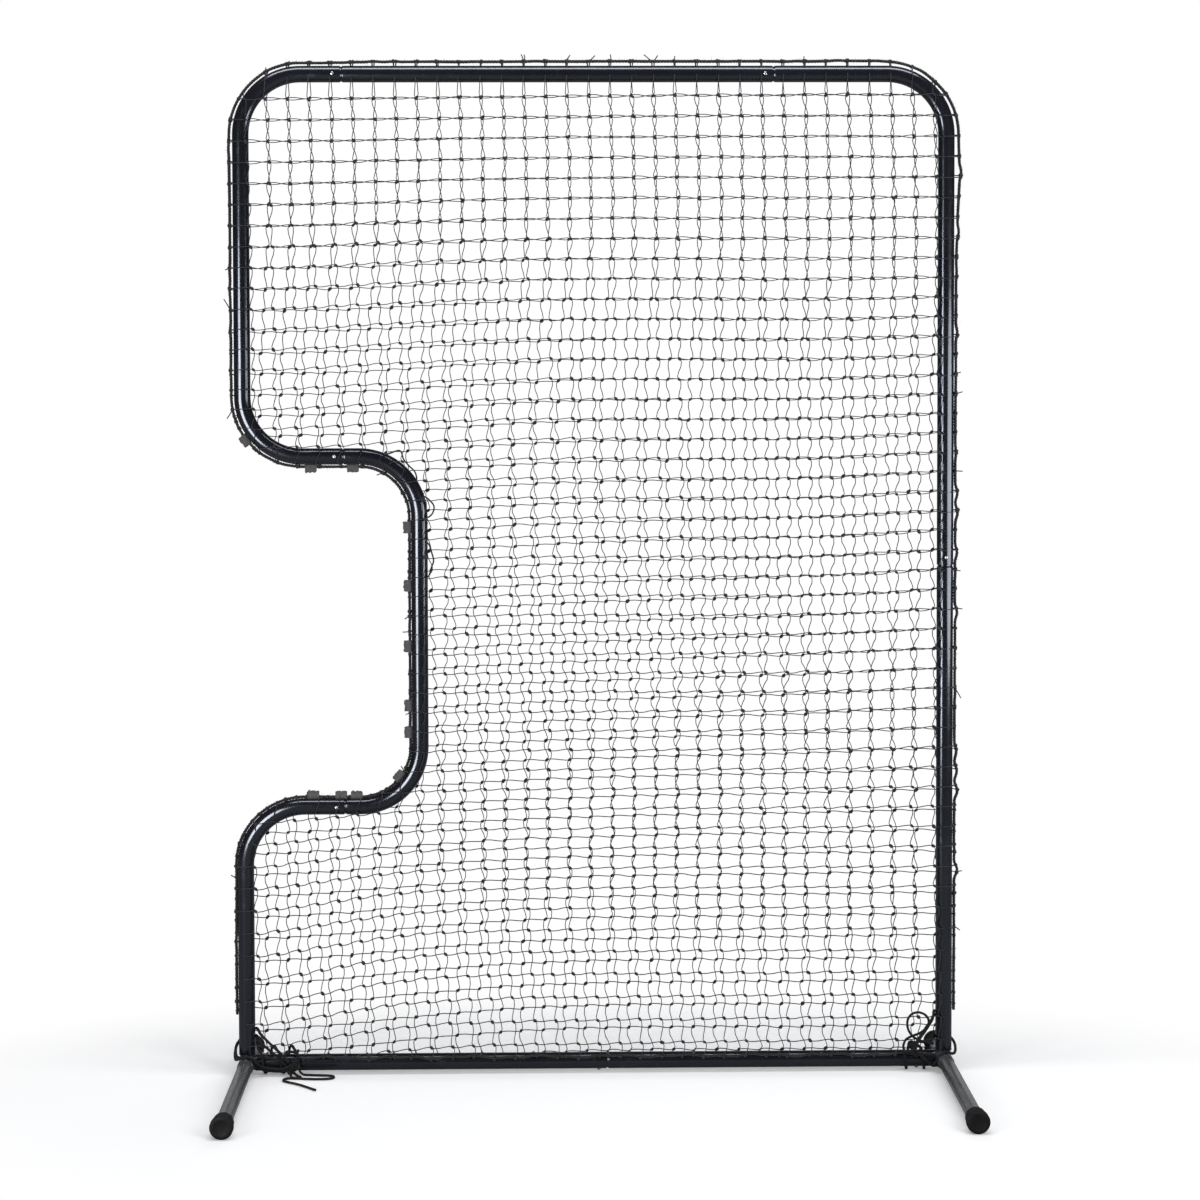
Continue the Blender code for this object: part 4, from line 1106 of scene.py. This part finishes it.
def make_tab(node, centre, out, seed):
    """Tape folded round the rope, its tongues uneven and curled, with a row of stitches on both."""
    shaken = np.random.default_rng(seed)
    along = Y_AXIS.cross(out)
    reaches = TAB_REACH + shaken.normal(0, TAB_UNEVEN, TAB_STATIONS)
    for corner in (0, -1):
        reaches[corner] -= shaken.uniform(0, TAB_CUT)
    curls = np.cumsum(shaken.normal(0, TAB_CURL, TAB_STATIONS))
    curls -= curls.mean()
    points = []
    for k in range(TAB_STATIONS):
        line = tab_section(reaches[k], curls[k])
        shift = centre + along * (TAB_HALF * (2 * k / (TAB_STATIONS - 1) - 1))
        outer, inner = [], []
        for i, (a, y) in enumerate(line):
            before, after = line[max(i - 1, 0)], line[min(i + 1, len(line) - 1)]
            run = Vector((after[0] - before[0], after[1] - before[1])).normalized()
            off = Vector((run.y, -run.x)) * (TAB_THICKNESS / 2)
            outer.append(shift + out * (a + off.x) + Y_AXIS * (y + off.y))
            inner.append(shift + out * (a - off.x) + Y_AXIS * (y - off.y))
        points += outer + inner[::-1]
    sides = 2 * len(line)
    faces = skin(TAB_STATIONS, sides)
    last = len(points) - sides
    for a in range(len(line) - 1):
        b, c, d = a + 1, sides - 2 - a, sides - 1 - a
        faces += [(a, d, c, b), (last + a, last + b, last + c, last + d)]
    shape = Shape(points, faces)
    for side in (-1, 1):
        centres = []
        for k in range(STITCHES):
            share = k / (STITCHES - 1)
            spot = centre + along * (TAB_HALF * STITCH_SPREAD * (2 * share - 1)) + out * STITCH_OUT
            curl = curls[round(share * (TAB_STATIONS - 1))] * STITCH_CURL
            centres.append(spot + Y_AXIS * (side * STITCH_Y + curl))
        turns = [atan2(along.z, along.x)] * STITCHES
        add_balls(shape, centres, [STITCH_SIZE] * STITCHES, turns, seed + 40 + side)
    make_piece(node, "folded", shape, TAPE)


# Ties

TIE_RADIUS = 0.0026
TIE_PITCH = 0.038
TIE_START = 0.0225
MEET_GAP = 0.0003
NET_THICKNESS = 0.003
LEFT_TIE_STEPS = 34
RIGHT_TIE_STEPS = 25
ROUTE_STEPS = 8
TIE_FULL = 0.0030
TIE_BRAID = 0.07
BRAID_STEP = 0.0016
KNOT_STEPS = 48
KNOT_DEPTH = 0.8

# Routes in millimetres. LIE is the height of a cord that lies on the floor, LEAN the depth of one that leans
# on the net
LIE = (TIE_RADIUS + BUTT_GAP) / MM
LEAN = -(TUBE_RADIUS + MEET_GAP + NET_THICKNESS + MEET_GAP + TIE_RADIUS) / MM
LEFT_BOW = (
    (-632.4, -25, 23.3), (-632.2, -25.1, 16.5), (-630.1, -25.8, 9.2), (-624.5, -27, 4.7),
    (-616.5, -28.4, LIE), (-584, -33, LIE), (-570, -34.8, LIE), (-560.5, -39.2, LIE), (-556.5, -48, LIE),
    (-560.3, -56.8, LIE), (-570, -61.2, LIE), (-593, -62.5, LIE), (-620, -59, LIE), (-639, -55, LIE),
    (-653, -56, LIE), (-661, -64, LIE), (-660.5, -76, LIE), (-648, -88, LIE), (-624, -108, LIE),
    (-588, -150, LIE),
)
RIGHT_BOW = (
    (656.9, -25.2, 47.3), (655.8, -25, 57), (661, -24.4, 69), (674, LEAN, 76.5), (691, LEAN, 83),
    (705, LEAN, 94), (710, LEAN, 108), (703.5, LEAN, 121), (689, LEAN, 127.5), (674.5, -24.2, 124.5),
    (665.5, -25.2, 114), (663.8, -26.6, 100.5), (667.5, -29, 87.5), (676.5, -30.2, 76.5), (690, -29.2, 68.5),
    (704, -26.2, 63.6), (718, LEAN, 61),
)
# Half a turn round the rail, as depth and height
HALF_TURN = (
    (0, 54.5), (-12, 54.5), (-19.5, 54), (-23.8, 52), (-25.2, 47), (-25, 23.6), (-18, 7.2),
    (0, (RAIL_Z - TUBE_RADIUS - TIE_RADIUS - MEET_GAP) / MM),
)
# Turns that lash each corner: over the foot's sleeve and round the upright, then down across the rail's front
LEFT_LASHING = (
    (
        (-650, -30, 13), (-670, -26.2, 10.5), (-690, -24.5, 11), (-708, -26.2, 14), (-721, -31, 23),
        (-730, -34.5, 38.5), (-744, -35, 45.2), (-758, -31, 42), (-766, -20, 44), (-768.5, 0, 58),
        (-762, 15, 68), (-748, 22.2, 74), (-732, 18, 78), (-723.5, 4, 79), (-718, -12, 74), (-706, -23.5, 65),
        (-690, -26.2, 52), (-674, -27.2, 38), (-660, -30, 23),
    ),
    (
        (-654, -33, 19), (-674, -31, 16), (-693, -29, 17.5), (-709, -31, 21), (-720, -37, 30),
        (-731, -40.5, 42), (-745, -41, 45.5), (-759, -36, 40), (-767.5, -24, 37), (-770, -4, 48),
        (-766, 14, 62), (-750, 24.5, 83), (-730, 20, 92), (-722.5, 6, 94), (-715, -13, 88), (-700, -25, 76),
        (-682, -29, 60), (-666, -30, 45), (-654, -32, 30),
    ),
    (
        (-662, -26, 48), (-648, -24.5, 52), (-638, -24, 50), (-633, -25, 56),
    ),
    (
        (-648, -34, 14), (-640, -35, 7), (-633, -40, 3.6), (-628, -48, 3.6), (-635, -56, 3.6),
        (-645, -53, 3.6), (-648, -43, 4), (-650, -36, 10),
    ),
)
RIGHT_LASHING = (
    (
        (676, -26.2, 52), (688, -28.5, 40), (700, -29, 29), (712, -27.5, 17), (722, -29, 14), (729, -35, 26),
        (736, -39, 41), (748, -38, 45), (760, -31, 40), (767.5, -18, 42), (769, 0, 54), (762, 16, 64),
        (748, 22.5, 70), (732, 18, 72), (724, 4, 70), (715, -14, 66), (702, -24, 64), (688, -26.2, 65),
        (676, -26.2, 62), (668, -25.5, 56), (674, -26.2, 50),
    ),
    (
        (744, 22.2, 118), (731, 17, 121.5), (724, 3, 123), (721.5, -14, 120), (716, -25, 113),
        (706, -29.4, 100), (696, -29.6, 85), (686, -30, 70), (679, -31, 56), (674, -30, 48),
    ),
    (
        (744, 22.2, 111), (730, 16, 114), (723, 1, 115), (719, -16, 111), (711, -26.2, 102), (701, -29.6, 88),
        (691, -30, 74), (683, -32, 60), (680, -33, 50), (669, -31, 45), (656, -29, 43),
    ),
)
# Knots: centre, size and turn
LEFT_KNOTS = (((-652, -34.5, 17), 3.3, 0.4), ((-640, -33.5, 21.5), 2.9, 1.5))
RIGHT_KNOTS = (((729, -38.5, 21.5), 3.0, 0.9), ((676, -27.5, 56), 2.4, 0.2))


def in_metres(points):
    return [Vector([k * MM for k in point]) for point in points]


def length_of(route):
    return sum((b - a).length for a, b in zip(route, route[1:]))


def make_bow(node, points):
    """A tie's free end, as a curve through its route."""
    route = smooth_route([p + FRAME_Y * Y_AXIS for p in in_metres(points)], ROUTE_STEPS)
    curve = bpy.data.curves.new(f"{node}_braided", "CURVE")
    curve.dimensions = "3D"
    curve.bevel_depth = TIE_RADIUS
    curve.bevel_resolution = 4
    curve.use_fill_caps = True
    spline = curve.splines.new("POLY")
    spline.points.add(len(route) - 1)
    for target, point in zip(spline.points, route):
        target.co = (*point, 1)
    curve.materials.append(CORD)
    made = put(f"{node}_braided", curve)
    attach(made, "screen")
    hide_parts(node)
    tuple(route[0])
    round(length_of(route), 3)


def knot_line(centre, size, turn):
    """An overhand knot drawn up small: a trefoil facing the front, turned in its own plane."""
    c, s = cos(turn), sin(turn)
    points = []
    for t in angles_round(KNOT_STEPS):
        x, z, y = sin(t) + 2 * sin(2 * t), cos(t) - 2 * cos(2 * t), -sin(3 * t)
        across = Vector((x * c - z * s, y * KNOT_DEPTH, x * s + z * c))
        points.append(in_metres([centre])[0] + across * (size * MM))
    return points + points[:2]


def make_tie(side, sign, steps, lashing, knots):
    """The turns round the rail, the lashing of the corner with the net in it, and its knots."""
    turn = list(HALF_TURN) + [(-y, z) for y, z in reversed(HALF_TURN[1:-1])]
    start_x = -UPRIGHT_X + TIE_START
    path = []
    for step in range(steps):
        y, z = turn[step % len(turn)]
        path.append((sign * (start_x + TIE_PITCH * step / len(turn)), sign * y * MM, z * MM))
    lines = [smooth_route(path, 3)]
    lines += [smooth_route(in_metres(route), 4) for route in lashing]
    lines += [knot_line(*knot) for knot in knots]
    shape = Shape()
    for line in lines:
        path = np.array(line)
        along = lengths_along(path)
        even = np.linspace(0, along[-1], max(4, round(along[-1] / BRAID_STEP)))
        path = np.stack([np.interp(even, along, path[:, k]) for k in range(3)], axis=1)
        size = TIE_FULL * (1 + TIE_BRAID * np.sin(even / BRAID_STEP * pi / 2))
        add_strand(shape, path, (0.97, 0.12, 0.2), size, CORD_SIDES)
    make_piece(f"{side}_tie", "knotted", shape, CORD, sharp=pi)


# Stage

FLOOR_HALF = 30.0
FLOOR_PALE = (0.86, 0.86, 0.865, 1)
FLOOR_MIRRORED = (0.26, 0.26, 0.26, 1)
FLOOR_LIFT = 0.20
FADE_SHAPE = (0.85, 1.45, 1.0)
FADE_FROM, FADE_TO = 0.85, 1.45
AIR = (0.95, 0.97, 1.0, 1)
AMBIENT = 0.34
MIRRORED_ROOM = 0.05
MIRRORED_WALL = 0.5
WALL_FROM, WALL_TO = 0.84, 0.98


def make_floor():
    """A pale floor that keeps the object's shadow and fades into the white beyond."""
    half = FLOOR_HALF
    mesh = bpy.data.meshes.new("floor")
    corners = [(-half, -half, 0), (half, -half, 0), (half, half, 0), (-half, half, 0)]
    mesh.from_pydata(corners, [], [(0, 1, 2, 3)])
    material, tree, shader = new_material("pale_floor")
    shader.inputs["Roughness"].default_value = 0.9
    shader.inputs["Specular IOR Level"].default_value = 0.1
    where = add_node(tree, "TexCoord")["Object"]
    squeezed = add_node(tree, "Mapping", Vector=where, Scale=FADE_SHAPE)["Vector"]
    far = add_node(tree, "VectorMath", squeezed, operation="LENGTH")["Value"]
    fade = add_node(
        tree, "MapRange", interpolation_type="SMOOTHSTEP", Value=far, From_Min=FADE_FROM, From_Max=FADE_TO
    )["Result"]
    rays = add_node(tree, "LightPath")
    seen = add_node(tree, "Math", fade, rays["Is Camera Ray"], operation="MULTIPLY")["Value"]
    colour = add_node(
        tree, "Mix", data_type="RGBA", Factor=rays["Is Glossy Ray"], A=FLOOR_PALE, B=FLOOR_MIRRORED
    )["Result"]
    tree.links.new(colour, shader.inputs["Base Color"])
    lift = add_node(tree, "Math", rays["Is Camera Ray"], FLOOR_LIFT, operation="MULTIPLY")["Value"]
    glow = add_node(tree, "Emission", Strength=lift)[0]
    lifted = add_node(tree, "AddShader", shader.outputs["BSDF"], glow)[0]
    white = add_node(tree, "Emission", Strength=1.0)[0]
    mixed = add_node(tree, "MixShader", seen, lifted, white)[0]
    tree.links.new(mixed, tree.nodes["Material Output"].inputs["Surface"])
    mesh.materials.append(material)
    made = put("floor", mesh)


def make_world():
    """White where the camera looks, while gloss mirrors a white wall behind the screen in a dark room."""
    world = bpy.data.worlds.new("studio")
    bpy.context.scene.world = world
    world.use_nodes = True
    tree = world.node_tree
    light = tree.nodes["Background"]
    light.inputs["Color"].default_value = AIR
    rays = add_node(tree, "LightPath")
    where = add_node(tree, "TexCoord")["Generated"]
    depth = add_node(tree, "SeparateXYZ", where)["Y"]
    wall = add_node(
        tree, "MapRange", interpolation_type="SMOOTHSTEP", Value=depth, From_Min=WALL_FROM,
        From_Max=WALL_TO, To_Min=MIRRORED_ROOM, To_Max=MIRRORED_WALL,
    )["Result"]
    strength = add_node(tree, "Mix", Factor=rays["Is Glossy Ray"], A=AMBIENT, B=wall)["Result"]
    tree.links.new(strength, light.inputs["Strength"])
    straight = (rays["Is Camera Ray"], rays["Is Transmission Ray"])
    seen = add_node(tree, "Math", *straight, operation="MAXIMUM")["Value"]
    white = add_node(tree, "Background", Color=(1, 1, 1, 1), Strength=1.0)[0]
    mixed = add_node(tree, "MixShader", seen, light.outputs[0], white)[0]
    tree.links.new(mixed, tree.nodes["World Output"].inputs["Surface"])


# Softboxes: name, place, what it faces, width, height, power in watts, and whether it lights plain surfaces
# and shows in gloss
SOFTBOXES = (
    ("key", (2.30, -3.60, 2.40), (0.0, 0.0, 1.00), 1.6, 2.0, 84, True, False),
    ("fill", (-3.00, -3.60, 1.90), (0.0, 0.0, 1.00), 1.4, 2.0, 46, True, False),
    ("overhead", (0.0, -0.35, 3.80), (0.0, -0.1, 0.0), 3.4, 0.60, 52, True, True),
    ("rear", (0.6, 3.40, 2.60), (0.0, 0.0, 1.00), 2.4, 1.2, 34, True, False),
    ("right_strip", (2.06, -0.95, 1.22), (0.745, 0.0, 1.18), 1.9, 0.95, 30, False, True),
    ("left_strip", (-1.80, -1.95, 1.10), (-0.2, 0.0, 1.05), 1.3, 1.5, 72, False, True),
)


def make_lights():
    for name, place, target, width, height, power, on_plain, on_gloss in SOFTBOXES:
        light = bpy.data.lights.new(name, "AREA")
        light.shape = "RECTANGLE" if on_plain else "ELLIPSE"
        light.size, light.size_y = width, height
        light.energy = power
        made = put(name, light)
        made.location = Vector(place) + FRAME_Y * Y_AXIS
        made.rotation_euler = (Vector(target) - Vector(place)).to_track_quat("-Z", "Y").to_euler()
        made.visible_diffuse, made.visible_glossy = on_plain, on_gloss


def main():
    make_camera()
    make_bow("left_tie_bow", LEFT_BOW)
    make_bow("right_tie_bow", RIGHT_BOW)
    pieces = make_frame()
    for side, x in (("left", -UPRIGHT_X), ("right", UPRIGHT_X)):
        pieces[f"{side}_foot_bracket"] = make_bracket(side, x)
        pieces[f"{side}_leg"] = make_leg(side, x)
        make_cap(side, "front", x, -1, FRONT_CAP_REACH)
        make_cap(side, "rear", x, 1, REAR_CAP_REACH)
    drill(pieces)
    for name, place, out, along, _ in snap_buttons():
        make_snap_button(name, place, out, along)
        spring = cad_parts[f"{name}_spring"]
        spring.data.materials.clear()
        spring.data.materials.append(SPRING)
    hitches = make_net("net_front", -1, FRONT_PULLS, 0.0037, 0.0200, 1, 21)
    hitches += make_net("net_back", 1, BACK_PULLS, 0.0012, 0.0097, -1, 31)
    make_border_rope(hitches)
    make_bottom_rope()
    for number, (node, centre, out) in enumerate(tab_frames()):
        make_tab(node, centre, out, 60 + number)
    make_tie("left", 1, LEFT_TIE_STEPS, LEFT_LASHING, LEFT_KNOTS)
    make_tie("right", -1, RIGHT_TIE_STEPS, RIGHT_LASHING, RIGHT_KNOTS)
    make_floor()
    make_world()
    make_lights()
    bpy.context.scene.view_settings.view_transform = "Standard"


main()
